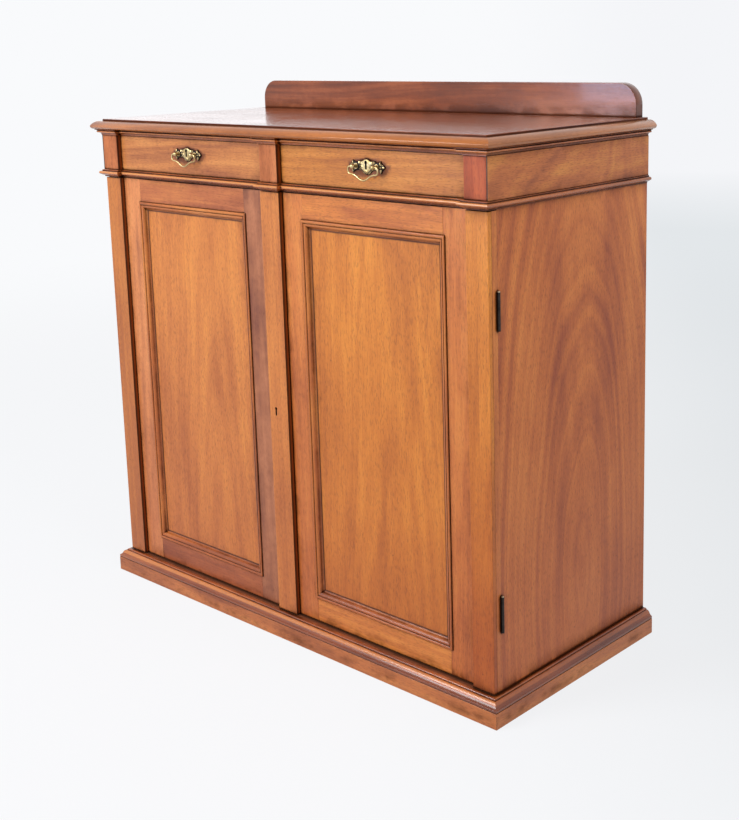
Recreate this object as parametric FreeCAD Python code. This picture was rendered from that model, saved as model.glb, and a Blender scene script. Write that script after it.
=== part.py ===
import FreeCAD, Part
import math
import os

V = FreeCAD.Vector

# A two-door, two-drawer chiffonier. Millimetres, x to the right, y to the back, z up.
# The origin is on the floor, in the middle of the footprint.

# ---------------------------------------------------------------- driving sizes

# Carcase
CARCASE_WIDTH = 1060.0       # over the two sides
BODY_DEPTH = 468.0           # pilaster face to back
SIDE_THICK = 20.0
BACK_THICK = 12.0
BACK_BOARDS = 5
HOUSING = 8.0                # how far the shelf and the deck go into each side

# Plinth
BASE_HEIGHT = 30.0
BASE_RAIL = 20.0
PLINTH_OUT = 21.0            # plinth board thickness, how far it stands out
PLINTH_MOULD = 18.0
BOTTOM_THICK = 18.0

# Doors
DOOR_HEIGHT = 844.0
DOOR_GAP = 2.0               # under and over the doors
MEETING_GAP = 1.5
MEETING_X = 23.75            # middle of the gap between the doors
PILASTER_WIDTH = 48.0
CENTRE_PILASTER = 52.0
PILASTER_PROUD = 9.0
DOOR_LIP = 13.0              # part of the door that laps over the side's edge
DOOR_REBATE = 7.0            # part of the door that enters the carcase
REBATE_CLEAR = 2.0
OUTER_SHOW = 53.0            # hinge stile that shows beside its pilaster
LEFT_INNER_SHOW = 56.0       # meeting stiles that show
RIGHT_INNER_SHOW = 51.0
RAIL_SHOW = 48.0
PANEL_SINK = 7.0             # panel face behind the frame face
PANEL_THICK = 8.0
GROOVE = 8.0
TENON = 30.0
HAUNCH = 6.0                 # tenons narrower than their rails at each edge
BOLECTION_WIDTH = 18.0
BOLECTION_LAP = 4.0          # part of the moulding that laps on the frame
BOLECTION_PROUD = 3.0

# Shelf
SHELF_HEIGHT = 407.0         # above the floor of the cupboard
SHELF_THICK = 18.0
SHELF_SETBACK = 1.0

# Frieze and drawers
DECK_THICK = 15.0
FRIEZE_HEIGHT = 73.0
RAIL_THICK = 13.0
RAIL_DEPTH = 66.0
BLOCK_WIDTH = 48.0
BLOCK_PROUD = 2.5            # block face in front of the pilaster face
BLOCK_BREAK = 10.0           # block face in front of the drawer faces
FRIEZE_FACING = 3.0
PARTITION_THICK = 20.0
DRAWER_GAP = 1.0
DRAWER_FRONT = 20.0
DRAWER_SIDE = 10.0
DRAWER_BACK = 10.0
DRAWER_BOTTOM = 6.0
DRAWER_BOTTOM_RISE = 8.0     # bottom board above the lower edge of the drawer
DRAWER_GROOVE = 5.0
DRAWER_END_CLEAR = 3.0
SIDE_DROP = 3.0              # drawer sides lower than the top edge of the front
BACK_DROP = 11.0
LAP = 6.0                    # wood left in front of the dovetails
TAILS = 3
TAIL_FLARE = 3.0
GUIDE_HEIGHT = 19.0
KICKER_WIDTH = 50.0
STOP_SIZE = (30.0, 12.0, 6.0)
STOP_GAP = 0.3

# Top and gallery
TOP_THICK = 20.7
TOP_OUT = 20.3
GALLERY_HALF = 519.0
GALLERY_HEIGHT = 63.3
GALLERY_THICK = 22.0
GALLERY_RADIUS = 40.0

# Hinges
HINGE_LENGTH = 66.0
HINGE_ENDS = (142.0, 168.0)  # hinge middles from the lower and the upper end of the door
LEAF_WIDTH = 18.0
LEAF_THICK = 1.5
KNUCKLE_RADIUS = 2.7
KNUCKLE_GAP = 0.3
KNUCKLES = 5
PIN_RADIUS = 1.3
PIN_CLEAR = 0.05
PIN_TIP = 1.8
SCREW_RADIUS = 1.4
SCREW_HEAD = 2.8
SCREW_LENGTH = 10.0

# Locks and bolts
KEYHOLE_DROP = 8.5           # door keyhole below the middle of the door
HANDLE_KEYHOLE_RISE = 2.5    # drawer keyhole above the posts of the handle
KEY_DEPTH = 3.0              # how far the key goes into a lock case
DOOR_KEYHOLE = (3.0, 17.0)   # radius of the round, height over all
DRAWER_KEYHOLE = (2.4, 14.0)
KEY_SLOT = 0.62              # slot width over round width
KEYHOLE_INSET = 34.0         # keyhole from the meeting edge
LOCK_THICK = 9.0
DOOR_LOCK = (46.0, 64.0)     # case, along x and z
DOOR_BOLT = (30.0, 5.0, 22.0)
DOOR_THROW = 9.0
DRAWER_LOCK = (40.0, 38.0)
DRAWER_BOLT = (18.0, 4.0, 25.0)
DRAWER_THROW = 7.0
BOLT_CLEAR = 0.3
BOLT_SET_IN = 0.5            # bolt end below the edge when it is drawn back
OVERCUT = 1.0                # how far a cutting solid runs past the face it opens
SLIP_BOLT = (8.0, 4.0, 80.0)
SLIP_PLATE = (16.0, 1.5, 66.0)
SLIP_LOOP = 9.0
SLIP_WALL = 1.5
SLIP_THROW = 12.0
SLIP_KNOB = (3.0, 7.0)       # radius, length
SLIP_CASE_DROP = 12.0        # case below the top of the door
SLIP_SET_IN = 1.0            # bolt end below the top of the door when it is down
MORTISE_END = 1.0            # room past the end of a thrown bolt
MORTISE_SIDE = 1.0           # room beside it
STRIKE_END = 3.0             # room past the door lock's bolt

# Handles
PLATE_THICK = 2.5
POST_SPACING = 51.0
PIVOT_OUT = 9.5              # bail axis in front of the plate
HANDLE_RISE = 6.0            # posts above the middle of the drawer
POST_RADIUS = 2.8
COLLAR_RADIUS = 5.2
COLLAR_THICK = 1.8
HEAD_RADIUS = 4.4
STEM_RADIUS = 2.2
STEM_PAST_NUT = 1.5
NUT_SIZE = 9.0
NUT_THICK = 3.5
BAIL_RADIUS = 1.7
BAIL_CLEAR = 0.06
BAIL_HALF = 36.5
BAIL_SHOULDER = 12.5
BAIL_WAIST = (21.0, 14.0)
BAIL_DROP = 27.0
BAIL_BEND = 0.45             # share of the shorter leg that each bend takes
BAIL_START = 4.5             # wire end inside the post

# ---------------------------------------------------------------- levels and planes

HALF = CARCASE_WIDTH / 2
BACK = (BODY_DEPTH + PLINTH_OUT) / 2
FACE = BACK - BODY_DEPTH                     # pilaster faces
FRAME_FACE = FACE + PILASTER_PROUD           # door frame faces
JOINT = FRAME_FACE + DOOR_LIP                # doors meet the carcase here
DOOR_BACK = JOINT + DOOR_REBATE
BLOCK_FACE = FACE - BLOCK_PROUD
DRAWER_FACE = BLOCK_FACE + BLOCK_BREAK
BACK_FRONT = BACK - BACK_THICK
PLINTH_TOP = BASE_HEIGHT + PLINTH_MOULD
BOTTOM_Z = PLINTH_TOP - BOTTOM_THICK
DOOR_Z = (PLINTH_TOP + DOOR_GAP, PLINTH_TOP + DOOR_GAP + DOOR_HEIGHT)
DECK_Z = (DOOR_Z[1] + DOOR_GAP, DOOR_Z[1] + DOOR_GAP + DECK_THICK)
RAIL_Z = (DECK_Z[1] + FRIEZE_HEIGHT, DECK_Z[1] + FRIEZE_HEIGHT + RAIL_THICK)
TOP_Z = (RAIL_Z[1], RAIL_Z[1] + TOP_THICK)
INSIDE = HALF - SIDE_THICK
DRAWER_Z = (DECK_Z[1] + DRAWER_GAP, RAIL_Z[0] - DRAWER_GAP)
DRAWER_BACK_Y = BACK_FRONT - DRAWER_END_CLEAR
OPENING_X = (BLOCK_WIDTH / 2, HALF - BLOCK_WIDTH)
DRAWER_CENTRE = (OPENING_X[0] + OPENING_X[1]) / 2
HINGE_X = HALF + KNUCKLE_RADIUS + KNUCKLE_GAP
HINGE_Z = (DOOR_Z[0] + HINGE_ENDS[0], DOOR_Z[1] - HINGE_ENDS[1])
KEYHOLE_Z = sum(DOOR_Z) / 2 - KEYHOLE_DROP
HANDLE_Z = sum(DRAWER_Z) / 2 + HANDLE_RISE
SHELF_Z = PLINTH_TOP + SHELF_HEIGHT
PLATE_FACE = DRAWER_FACE - PLATE_THICK
PIVOT_Y = PLATE_FACE - PIVOT_OUT
DRAWER_FRONT_BACK = DRAWER_FACE + DRAWER_FRONT
DOOR_LOCK_Y = DOOR_BACK - LOCK_THICK / 2
DRAWER_LOCK_Y = DRAWER_FRONT_BACK - LOCK_THICK / 2
DOOR_EDGES = (MEETING_X - MEETING_GAP / 2, MEETING_X + MEETING_GAP / 2)
SLIP_X = DOOR_EDGES[1] + (RIGHT_INNER_SHOW + BOLECTION_LAP) / 2
SLIP_Y = DOOR_BACK + SLIP_PLATE[1] + BOLT_CLEAR

# Mouldings: how far out, and how far up from their lower edge.
# A step is a point, or a pair (point on the arc, end of the arc).

PLINTH_SECTION = [
    (PLINTH_OUT - 1.2, 0.0),
    (PLINTH_OUT - 0.3, 1.0),
    (PLINTH_OUT - 0.3, 4.8),
    ((PLINTH_OUT - 3.4, 6.6), (PLINTH_OUT - 5.6, 9.8)),
    ((PLINTH_OUT - 7.8, 13.3), (PLINTH_OUT - 11.6, 15.2)),
    (PLINTH_OUT - 12.6, 14.9),
    (PLINTH_OUT - 13.0, 16.2),
    ((PLINTH_OUT - 13.7, 17.4), (PLINTH_OUT - 15.4, PLINTH_MOULD)),
]
MID_SECTION = [
    (0.7, 0.0),
    (0.7, 1.8),
    ((4.0, 3.3), (7.2, 5.2)),
    ((9.6, 8.4), (6.6, 11.4)),
    (4.4, 11.8),
    (4.4, DECK_THICK - 1.2),
    (2.6, DECK_THICK),
]
BED_SECTION = [
    (1.8, 0.0),
    (1.8, 1.0),
    ((3.3, 4.1), (6.2, 5.4)),
    ((9.0, 7.5), (7.6, 9.8)),
    (9.2, 10.3),
    (14.4, RAIL_THICK),
]
TOP_SECTION = [
    (TOP_OUT - 5.8, 0.0),
    ((TOP_OUT - 1.4, 2.6), (TOP_OUT, 6.4)),
    ((TOP_OUT - 4.6, 12.4), (TOP_OUT - 13.4, 16.6)),
    (0.4, TOP_THICK - 4.0),
    (0.4, TOP_THICK - 1.0),
    ((0.1, TOP_THICK - 0.3), (-0.6, TOP_THICK)),
]
# The panel moulding: in from its outer edge, and out from the frame face.
BOLECTION_SECTION = [
    (0.0, 0.0),
    (0.0, BOLECTION_PROUD - 1.6),
    ((1.0, BOLECTION_PROUD - 0.4), (2.8, BOLECTION_PROUD)),
    ((4.8, BOLECTION_PROUD - 0.5), (5.8, BOLECTION_PROUD - 1.8)),
    (6.6, BOLECTION_PROUD - 2.0),
    (7.4, BOLECTION_PROUD - 1.4),
    ((11.6, BOLECTION_PROUD - 3.3), (13.6, -3.2)),
    ((15.0, -5.6), (BOLECTION_WIDTH, 0.4 - PANEL_SINK)),
    (BOLECTION_WIDTH, -PANEL_SINK),
    (BOLECTION_LAP, -PANEL_SINK),
    (BOLECTION_LAP, 0.0),
]


# ---------------------------------------------------------------- helpers

def box(x, y, z):
    """A box from three (low, high) pairs, given in either order."""
    low = V(min(x), min(y), min(z))
    high = V(max(x), max(y), max(z))
    size = high - low
    return Part.makeBox(size.x, size.y, size.z, low)


def around(middle, size, grow=0.0):
    """A (low, high) pair of the given size about a middle, grown by a clearance at each end."""
    return middle - size / 2 - grow, middle + size / 2 + grow


def rod(radius, start, end):
    return Part.makeCylinder(radius, (end - start).Length, start, end - start)


def join(shapes):
    return shapes[0].multiFuse(shapes[1:]).removeSplitter() if len(shapes) > 1 else shapes[0]


def wire(section, place):
    """Edges through the steps of a section; place turns its two numbers into a point."""
    here = section[0]
    edges = []
    for step in section[1:]:
        if isinstance(step[0], tuple):
            edges.append(Part.Arc(place(*here), place(*step[0]), place(*step[1])).toShape())
            here = step[1]
        else:
            edges.append(Part.makeLine(place(*here), place(*step)))
            here = step
    return edges


def face(section, place):
    """A flat face whose outline closes from the last step to the first."""
    edges = wire(section, place)
    first, last = edges[0].Vertexes[0].Point, edges[-1].Vertexes[-1].Point
    if first.distanceToPoint(last) > 1e-6:
        edges.append(Part.makeLine(last, first))
    return Part.Face(Part.Wire(edges))


def save(node, *solids):
    shape = solids[0] if len(solids) == 1 else Part.makeCompound(list(solids))
    shape.exportStep(f"parts/{node}.step")


def both(half, build):
    """The same thing built at +x and mirrored to -x."""
    right = build(half)
    return [right, right.mirror(V(0, 0, 0), V(1, 0, 0))]


# ---------------------------------------------------------------- mouldings in plan

def moulded_block(section, x, front, z):
    """A block with the section on its front and on both ends, square at the back."""
    reach = 2 * PLINTH_OUT

    def beside(edge, sign):
        return lambda out, up: V(edge + sign * out, front - reach, z + up)

    across = wire(section, lambda out, up: V(x[0] - reach, front - out, z + up))
    bottom, top = across[0].Vertexes[0].Point, across[-1].Vertexes[-1].Point
    back_low, back_high = V(bottom.x, BACK, bottom.z), V(top.x, BACK, top.z)
    corners = [(top, back_high), (back_high, back_low), (back_low, bottom)]
    outline = Part.Wire(across + [Part.makeLine(*pair) for pair in corners])
    length = x[1] - x[0] + 2 * reach
    along = Part.Face(outline).extrude(V(length, 0, 0))

    right = wire(section, beside(x[1], 1))
    left = wire(section, beside(x[0], -1))
    top_line = Part.makeLine(right[-1].Vertexes[-1].Point, left[-1].Vertexes[-1].Point)
    bottom_line = Part.makeLine(left[0].Vertexes[0].Point, right[0].Vertexes[0].Point)
    ends = Part.Face(Part.Wire(right + [top_line] + left[::-1] + [bottom_line]))
    return along.common(ends.extrude(V(0, BACK - front + reach, 0)))


def plan_prism(points, z):
    """An upright prism over a plan outline."""
    outline = Part.makePolygon([V(x, y, z[0]) for x, y in points + points[:1]])
    return Part.Face(outline).extrude(V(0, 0, z[1] - z[0]))


def side_pieces(shape, front, reach, z):
    """The runs along the two sides, mitred at the front corners."""
    def run(half):
        corner = (half, front)
        tip = (half + reach, front - reach)
        return shape.common(plan_prism([corner, tip, (half + reach, BACK), (half, BACK)], z))
    return both(HALF, run)


def straight_run(section, front, reach, z):
    """A moulding round the front and the sides in three mitred pieces."""
    core = box((-HALF, HALF), (front, BACK), z)
    ring = moulded_block(section, (-HALF, HALF), front, z[0]).cut(core)
    corners = [(-HALF - reach, front - reach), (HALF + reach, front - reach)]
    front_piece = ring.common(plan_prism(corners + [(HALF, front), (-HALF, front)], z))
    return [front_piece] + side_pieces(ring, front, reach, z)


def block_spans():
    half = BLOCK_WIDTH / 2
    return [(-HALF, BLOCK_WIDTH - HALF), (-half, half), (HALF - BLOCK_WIDTH, HALF)]


def broken_run(section, z):
    """A moulding that breaks forward round each frieze block, mitred at every turn."""
    reach = BLOCK_BREAK + 2.0
    near, far = BLOCK_FACE, DRAWER_FACE
    ring = moulded_block(section, (-HALF, HALF), far, z[0])
    core = box((-HALF, HALF), (far, BACK), z)
    for span in block_spans():
        ring = ring.fuse(moulded_block(section, span, near, z[0]))
        core = core.fuse(box(span, (near, BACK), z))
    ring = ring.cut(core)

    plans = []
    for low, high in block_spans():
        plans.append([(low - reach, near - reach), (high + reach, near - reach), (high, near), (low, near)])
        if low > -HALF:
            out = low - reach
            plans.append([(low, near), (out, near - reach), (out, far - reach), (low, far)])
        if high < HALF:
            out = high + reach
            plans.append([(high, near), (out, near - reach), (out, far - reach), (high, far)])
    for left, right in zip(block_spans()[:-1], block_spans()[1:]):
        low, high = left[1], right[0]
        plans.append([(low, far), (low + reach, far - reach), (high - reach, far - reach), (high, far)])
    pieces = [ring.common(plan_prism(plan, z)) for plan in plans]
    return pieces + side_pieces(ring, near, reach, z)


# ---------------------------------------------------------------- base and carcase

def base_and_plinth():
    z = (0.0, BASE_HEIGHT)
    inner_y = (FACE + BASE_RAIL, BACK - BASE_RAIL)
    rails = [box((-HALF, HALF), (FACE, inner_y[0]), z), box((-HALF, HALF), (inner_y[1], BACK), z)]
    rails += both(HALF, lambda half: box((half - BASE_RAIL, half), inner_y, z))
    save("base_frame", *rails)

    board = [(PLINTH_OUT, 0.0), (PLINTH_OUT, BASE_HEIGHT - 1.5)]
    board.append(((PLINTH_OUT - 0.44, BASE_HEIGHT - 0.44), (PLINTH_OUT - 1.5, BASE_HEIGHT)))
    save("plinth_boards", *straight_run(board, FACE, PLINTH_OUT, z))

    moulding_z = (BASE_HEIGHT, PLINTH_TOP)
    save("plinth_moulding", *straight_run(PLINTH_SECTION, FACE, PLINTH_OUT, moulding_z))
    save("bottom_board", box((-HALF, HALF), (FACE, BACK), (BOTTOM_Z, PLINTH_TOP)))


def shelf_shape():
    x = INSIDE + HOUSING
    y = (DOOR_BACK + SHELF_SETBACK, BACK_FRONT)
    return box((-x, x), y, (SHELF_Z, SHELF_Z + SHELF_THICK))


def railed_board(depth_end, z, housing):
    """A board between the sides, with ears that lap over the front edges of the sides."""
    x = INSIDE + housing
    inner = box((-x, x), (JOINT, depth_end), z)
    return join([box((-HALF, HALF), (DRAWER_FACE, JOINT), z), inner])


def deck_shape():
    return railed_board(BACK_FRONT, DECK_Z, HOUSING)


def carcase():
    top_of_side = RAIL_Z[1]
    housed = [shelf_shape(), deck_shape()]

    def side(half):
        board = box((half - SIDE_THICK, half), (JOINT, BACK), (PLINTH_TOP, top_of_side))
        return board.cut(housed)

    for name, board in zip(("right", "left"), both(HALF, side)):
        save(f"side_{name}", cut_hinges(board))

    width = 2 * INSIDE / BACK_BOARDS
    back_z = (PLINTH_TOP, top_of_side)
    lefts = [index * width - INSIDE for index in range(BACK_BOARDS)]
    save("back_boards", *[box((x, x + width), (BACK_FRONT, BACK), back_z) for x in lefts])
    save("shelf", shelf_shape())


def frieze():
    deck = deck_shape().cut(slip_bolt_hole())
    save("drawer_deck", deck)

    rail = railed_board(DRAWER_FACE + RAIL_DEPTH, RAIL_Z, 0.0)
    save("top_rail", rail.cut([drawer_mortise(sign) for sign in (-1, 1)]))

    between = (DECK_Z[1], RAIL_Z[0])
    half = PARTITION_THICK / 2
    save("drawer_partition", box((-half, half), (JOINT, BACK_FRONT), between))

    blocks = []
    for span in block_spans():
        skin = box(span, (BLOCK_FACE, DRAWER_FACE), (DECK_Z[0], RAIL_Z[1]))
        body = box(span, (DRAWER_FACE, JOINT), between)
        blocks.append(join([skin, body]))
    save("frieze_blocks", *blocks)

    facing_x = HALF + FRIEZE_FACING
    save("frieze_sides", *both(HALF, lambda x: box((x, facing_x), (BLOCK_FACE, BACK), between)))
    save("mid_moulding", *broken_run(MID_SECTION, DECK_Z))
    save("bed_moulding", *broken_run(BED_SECTION, RAIL_Z))


def drawer_strips():
    run_y = (JOINT, BACK_FRONT)
    guide_z = (DECK_Z[1], DECK_Z[1] + GUIDE_HEIGHT)
    strips = both(HALF, lambda x: box((OPENING_X[1], INSIDE), run_y, guide_z))
    strips += both(HALF, lambda x: box((PARTITION_THICK / 2, OPENING_X[0]), run_y, guide_z))
    kicker_y = (DRAWER_FACE + RAIL_DEPTH, BACK_FRONT)
    strips += both(HALF, lambda x: box((INSIDE - KICKER_WIDTH, INSIDE), kicker_y, RAIL_Z))
    reach = OPENING_X[0] + KICKER_WIDTH / 2
    strips.append(box((-reach, reach), kicker_y, RAIL_Z))
    save("drawer_guides", *strips)

    wide, deep, tall = STOP_SIZE
    stop_y = DRAWER_FRONT_BACK + STOP_GAP
    offset = (OPENING_X[1] - OPENING_X[0]) / 4
    stops = []
    for centre in (DRAWER_CENTRE - offset, DRAWER_CENTRE + offset):
        low = centre - wide / 2
        span = (low, low + wide)
        stop_z = (DECK_Z[1], DECK_Z[1] + tall)
        stops += both(HALF, lambda x: box(span, (stop_y, stop_y + deep), stop_z))
    save("drawer_stops", *stops)


def top_and_gallery():
    save("top_board", moulded_block(TOP_SECTION, (-HALF, HALF), FACE, TOP_Z[0]))

    top = GALLERY_HEIGHT
    radius = GALLERY_RADIUS
    shoulder = radius * (1 - math.sqrt(0.5))
    outline = [
        (-GALLERY_HALF, 0.0),
        (-GALLERY_HALF, top - radius),
        ((shoulder - GALLERY_HALF, top - shoulder), (radius - GALLERY_HALF, top)),
        (GALLERY_HALF - radius, top),
        ((GALLERY_HALF - shoulder, top - shoulder), (GALLERY_HALF, top - radius)),
        (GALLERY_HALF, 0.0),
    ]
    board = face(outline, lambda x, up: V(x, BACK - GALLERY_THICK, TOP_Z[1] + up))
    save("gallery", board.extrude(V(0, GALLERY_THICK, 0)))


# ---------------------------------------------------------------- hinges

def hinge_levels():
    """Bottom and top of each knuckle of one hinge, measured from its lower end."""
    pitch = HINGE_LENGTH / KNUCKLES
    trim = KNUCKLE_GAP / 2
    return [(index * pitch + trim, (index + 1) * pitch - trim) for index in range(KNUCKLES)]


def hinge_leaf(z, side):
    """One leaf at +x: side is 1 for the leaf on the carcase, -1 for the leaf on the door."""
    leaf_y = (JOINT, JOINT + side * LEAF_THICK)
    parts = [box((HALF - LEAF_WIDTH, HALF), leaf_y, (z, z + HINGE_LENGTH))]
    for index, (low, high) in enumerate(hinge_levels()):
        if (index % 2 == 0) == (side == 1):
            parts.append(box((HALF, HINGE_X), leaf_y, (z + low, z + high)))
            parts.append(rod(KNUCKLE_RADIUS, V(HINGE_X, JOINT, z + low), V(HINGE_X, JOINT, z + high)))
    ends = (z - OVERCUT, z + HINGE_LENGTH + OVERCUT)
    bore = rod(PIN_RADIUS + PIN_CLEAR, V(HINGE_X, JOINT, ends[0]), V(HINGE_X, JOINT, ends[1]))
    return join(parts).cut(bore)


def leaf_screw(z, side):
    x = HALF - LEAF_WIDTH / 2
    shank = rod(SCREW_RADIUS, V(x, JOINT, z), V(x, JOINT + side * SCREW_LENGTH, z))
    depth = SCREW_HEAD - SCREW_RADIUS
    head = Part.makeCone(SCREW_HEAD, SCREW_RADIUS, depth, V(x, JOINT, z), V(0, side, 0))
    return join([shank, head])


def screw_levels(z):
    return [z + HINGE_LENGTH * share for share in (0.14, 0.5, 0.86)]


def hinge_set(side):
    """The leaves and screws of one door at +x, on the carcase or on the door."""
    pieces = []
    for middle in HINGE_Z:
        z = middle - HINGE_LENGTH / 2
        screws = [leaf_screw(level, side) for level in screw_levels(z)]
        pieces.append(hinge_leaf(z, side).cut(screws))
        pieces += screws
    return pieces


def mirrored(shapes):
    return [shape.mirror(V(0, 0, 0), V(1, 0, 0)) for shape in shapes]


def cut_hinges(board):
    """Sinks the leaves and screws of both doors into a board that they touch."""
    tools = []
    for side in (1, -1):
        for middle in HINGE_Z:
            z = middle - HINGE_LENGTH / 2
            leaf_y = (JOINT, JOINT + side * LEAF_THICK)
            tools.append(box((HALF - LEAF_WIDTH, HALF), leaf_y, (z, z + HINGE_LENGTH)))
            tools += [leaf_screw(level, side) for level in screw_levels(z)]
    return board.cut(tools + mirrored(tools))


def hinges():
    fixed = hinge_set(1)
    save("hinge_leaves_fixed", *fixed, *mirrored(fixed))
    moving = hinge_set(-1)
    save("right_door_hinge_leaves", *moving)
    save("left_door_hinge_leaves", *mirrored(moving))

    pins = []
    for middle in HINGE_Z:
        low, high = middle - HINGE_LENGTH / 2, middle + HINGE_LENGTH / 2
        shaft = rod(PIN_RADIUS, V(HINGE_X, JOINT, low), V(HINGE_X, JOINT, high))
        tip = Part.makeSphere(KNUCKLE_RADIUS, V(HINGE_X, JOINT, high), V(0, 0, 1), 0, 90, 360)
        around_pin = around(HINGE_X, 3 * KNUCKLE_RADIUS), around(JOINT, 3 * KNUCKLE_RADIUS)
        tip = tip.common(box(*around_pin, (high, high + PIN_TIP)))
        pins.append(join([shaft, tip]))
    save("hinge_pins", *pins, *mirrored(pins))


# ---------------------------------------------------------------- keyholes, locks and bolts

def keyhole(x, middle, size, y):
    """A round over a slot, cut from y[0] to y[1]."""
    radius, height = size
    slot = radius * KEY_SLOT
    top = middle + height / 2
    depth = V(0, y[1] - y[0], 0)
    ring = rod(radius, V(x, y[0], top - radius), V(x, y[0], top - radius) + depth)
    end = rod(slot, V(x, y[0], top - height + slot), V(x, y[0], top - height + slot) + depth)
    return join([ring, end, box((x - slot, x + slot), y, (top - height + slot, top - radius))])


DOOR_KEY = keyhole(DOOR_EDGES[0] - KEYHOLE_INSET, KEYHOLE_Z, DOOR_KEYHOLE,
                   (FACE - OVERCUT, DOOR_BACK - LOCK_THICK + KEY_DEPTH))


def door_lock_case():
    wide, tall = DOOR_LOCK
    edge = DOOR_EDGES[0]
    return box((edge - wide, edge), (DOOR_BACK - LOCK_THICK, DOOR_BACK), around(KEYHOLE_Z, tall))


def door_bolt():
    long, thick, tall = DOOR_BOLT
    end = DOOR_EDGES[0] - BOLT_SET_IN
    return box((end - long, end), around(DOOR_LOCK_Y, thick), around(KEYHOLE_Z, tall))


def door_bolt_channel():
    """The way of the bolt through the lock case, open at the meeting edge."""
    long, thick, tall = DOOR_BOLT
    start = DOOR_EDGES[0] - BOLT_SET_IN - long - BOLT_CLEAR
    x = (start, DOOR_EDGES[0] + OVERCUT)
    return box(x, around(DOOR_LOCK_Y, thick, BOLT_CLEAR), around(KEYHOLE_Z, tall, BOLT_CLEAR))


def door_strike():
    """The mortise in the right door that takes the bolt."""
    _, thick, tall = DOOR_BOLT
    end = DOOR_EDGES[0] - BOLT_SET_IN + DOOR_THROW + STRIKE_END
    x = (DOOR_EDGES[1] - OVERCUT, end)
    return box(x, around(DOOR_LOCK_Y, thick, BOLT_CLEAR), around(KEYHOLE_Z, tall, MORTISE_SIDE))


def slip_loops():
    """Lower and upper z of the two staples of the slip bolt."""
    top = DOOR_Z[1] - SLIP_CASE_DROP
    low = top - SLIP_PLATE[2]
    return [(low, low + SLIP_LOOP), (top - SLIP_LOOP, top)]


def slip_bolt_shape():
    wide, thick, long = SLIP_BOLT
    radius, reach = SLIP_KNOB
    top = DOOR_Z[1] - SLIP_SET_IN
    bar = box(around(SLIP_X, wide), (SLIP_Y, SLIP_Y + thick), (top - long, top))
    knob_z = slip_loops()[1][0] - SLIP_THROW - radius - MORTISE_END
    front = SLIP_Y + thick
    return join([bar, rod(radius, V(SLIP_X, front, knob_z), V(SLIP_X, front + reach, knob_z))])


def slip_case_shape():
    wide, thick, _ = SLIP_PLATE
    lower, upper = slip_loops()
    channel_y = (SLIP_Y - BOLT_CLEAR, SLIP_Y + SLIP_BOLT[1] + BOLT_CLEAR)
    x = around(SLIP_X, wide)
    parts = [box(x, (DOOR_BACK, DOOR_BACK + thick), (lower[0], upper[1]))]
    parts += [box(x, (DOOR_BACK, channel_y[1] + SLIP_WALL), loop) for loop in (lower, upper)]
    channel_z = (lower[0] - OVERCUT, upper[1] + OVERCUT)
    return join(parts).cut(box(around(SLIP_X, SLIP_BOLT[0], BOLT_CLEAR), channel_y, channel_z))


def slip_bolt_hole():
    """The hole in the deck over the slip bolt."""
    wide, thick, _ = SLIP_BOLT
    top = DOOR_Z[1] - SLIP_SET_IN + SLIP_THROW + MORTISE_END
    y = (SLIP_Y - BOLT_CLEAR, SLIP_Y + thick + BOLT_CLEAR)
    return box(around(SLIP_X, wide, BOLT_CLEAR), y, (DECK_Z[0] - OVERCUT, top))


def drawer_lock_case(centre):
    wide, tall = DRAWER_LOCK
    y = (DRAWER_FRONT_BACK - LOCK_THICK, DRAWER_FRONT_BACK)
    return box(around(centre, wide), y, (DRAWER_Z[1] - tall, DRAWER_Z[1]))


def drawer_bolt(centre):
    wide, thick, tall = DRAWER_BOLT
    top = DRAWER_Z[1] - BOLT_SET_IN
    return box(around(centre, wide), around(DRAWER_LOCK_Y, thick), (top - tall, top))


def drawer_bolt_channel(centre):
    """The way of the bolt through the lock case, open at the top edge of the drawer."""
    wide, thick, tall = DRAWER_BOLT
    low = DRAWER_Z[1] - BOLT_SET_IN - tall - BOLT_CLEAR
    z = (low, DRAWER_Z[1] + OVERCUT)
    return box(around(centre, wide, BOLT_CLEAR), around(DRAWER_LOCK_Y, thick, BOLT_CLEAR), z)


def drawer_mortise(sign):
    """The mortise in the top rail that takes the bolt of one drawer."""
    wide, thick, _ = DRAWER_BOLT
    top = DRAWER_Z[1] - BOLT_SET_IN + DRAWER_THROW + MORTISE_END
    x = around(sign * DRAWER_CENTRE, wide, MORTISE_SIDE)
    return box(x, around(DRAWER_LOCK_Y, thick, BOLT_CLEAR), (RAIL_Z[0] - OVERCUT, top))


# ---------------------------------------------------------------- doors

def mitred_frame(x, z):
    """The panel moulding, its outer edge on the rectangle x by z, in four mitred pieces."""
    def corners_in(inset):
        low, high = (x[0] + inset, z[0] + inset), (x[1] - inset, z[1] - inset)
        return [low, (high[0], low[1]), high, (low[0], high[1])]

    corners, inner = corners_in(0.0), corners_in(BOLECTION_WIDTH)
    places = [
        (lambda u, v: V(x[0], FRAME_FACE - v, z[0] + u), V(x[1] - x[0], 0, 0)),
        (lambda u, v: V(x[1] - u, FRAME_FACE - v, z[0]), V(0, 0, z[1] - z[0])),
        (lambda u, v: V(x[0], FRAME_FACE - v, z[1] - u), V(x[1] - x[0], 0, 0)),
        (lambda u, v: V(x[0] + u, FRAME_FACE - v, z[0]), V(0, 0, z[1] - z[0])),
    ]
    pieces = []
    front = FRAME_FACE - BOLECTION_PROUD - OVERCUT
    for index, (place, along) in enumerate(places):
        after = (index + 1) % 4
        plan = [corners[index], corners[after], inner[after], inner[index], corners[index]]
        wedge = Part.Face(Part.makePolygon([V(a, front, b) for a, b in plan]))
        wedge = wedge.extrude(V(0, BOLECTION_PROUD + PANEL_SINK + 2 * OVERCUT, 0))
        pieces.append(face(BOLECTION_SECTION, place).extrude(along).common(wedge))
    return pieces


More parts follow.
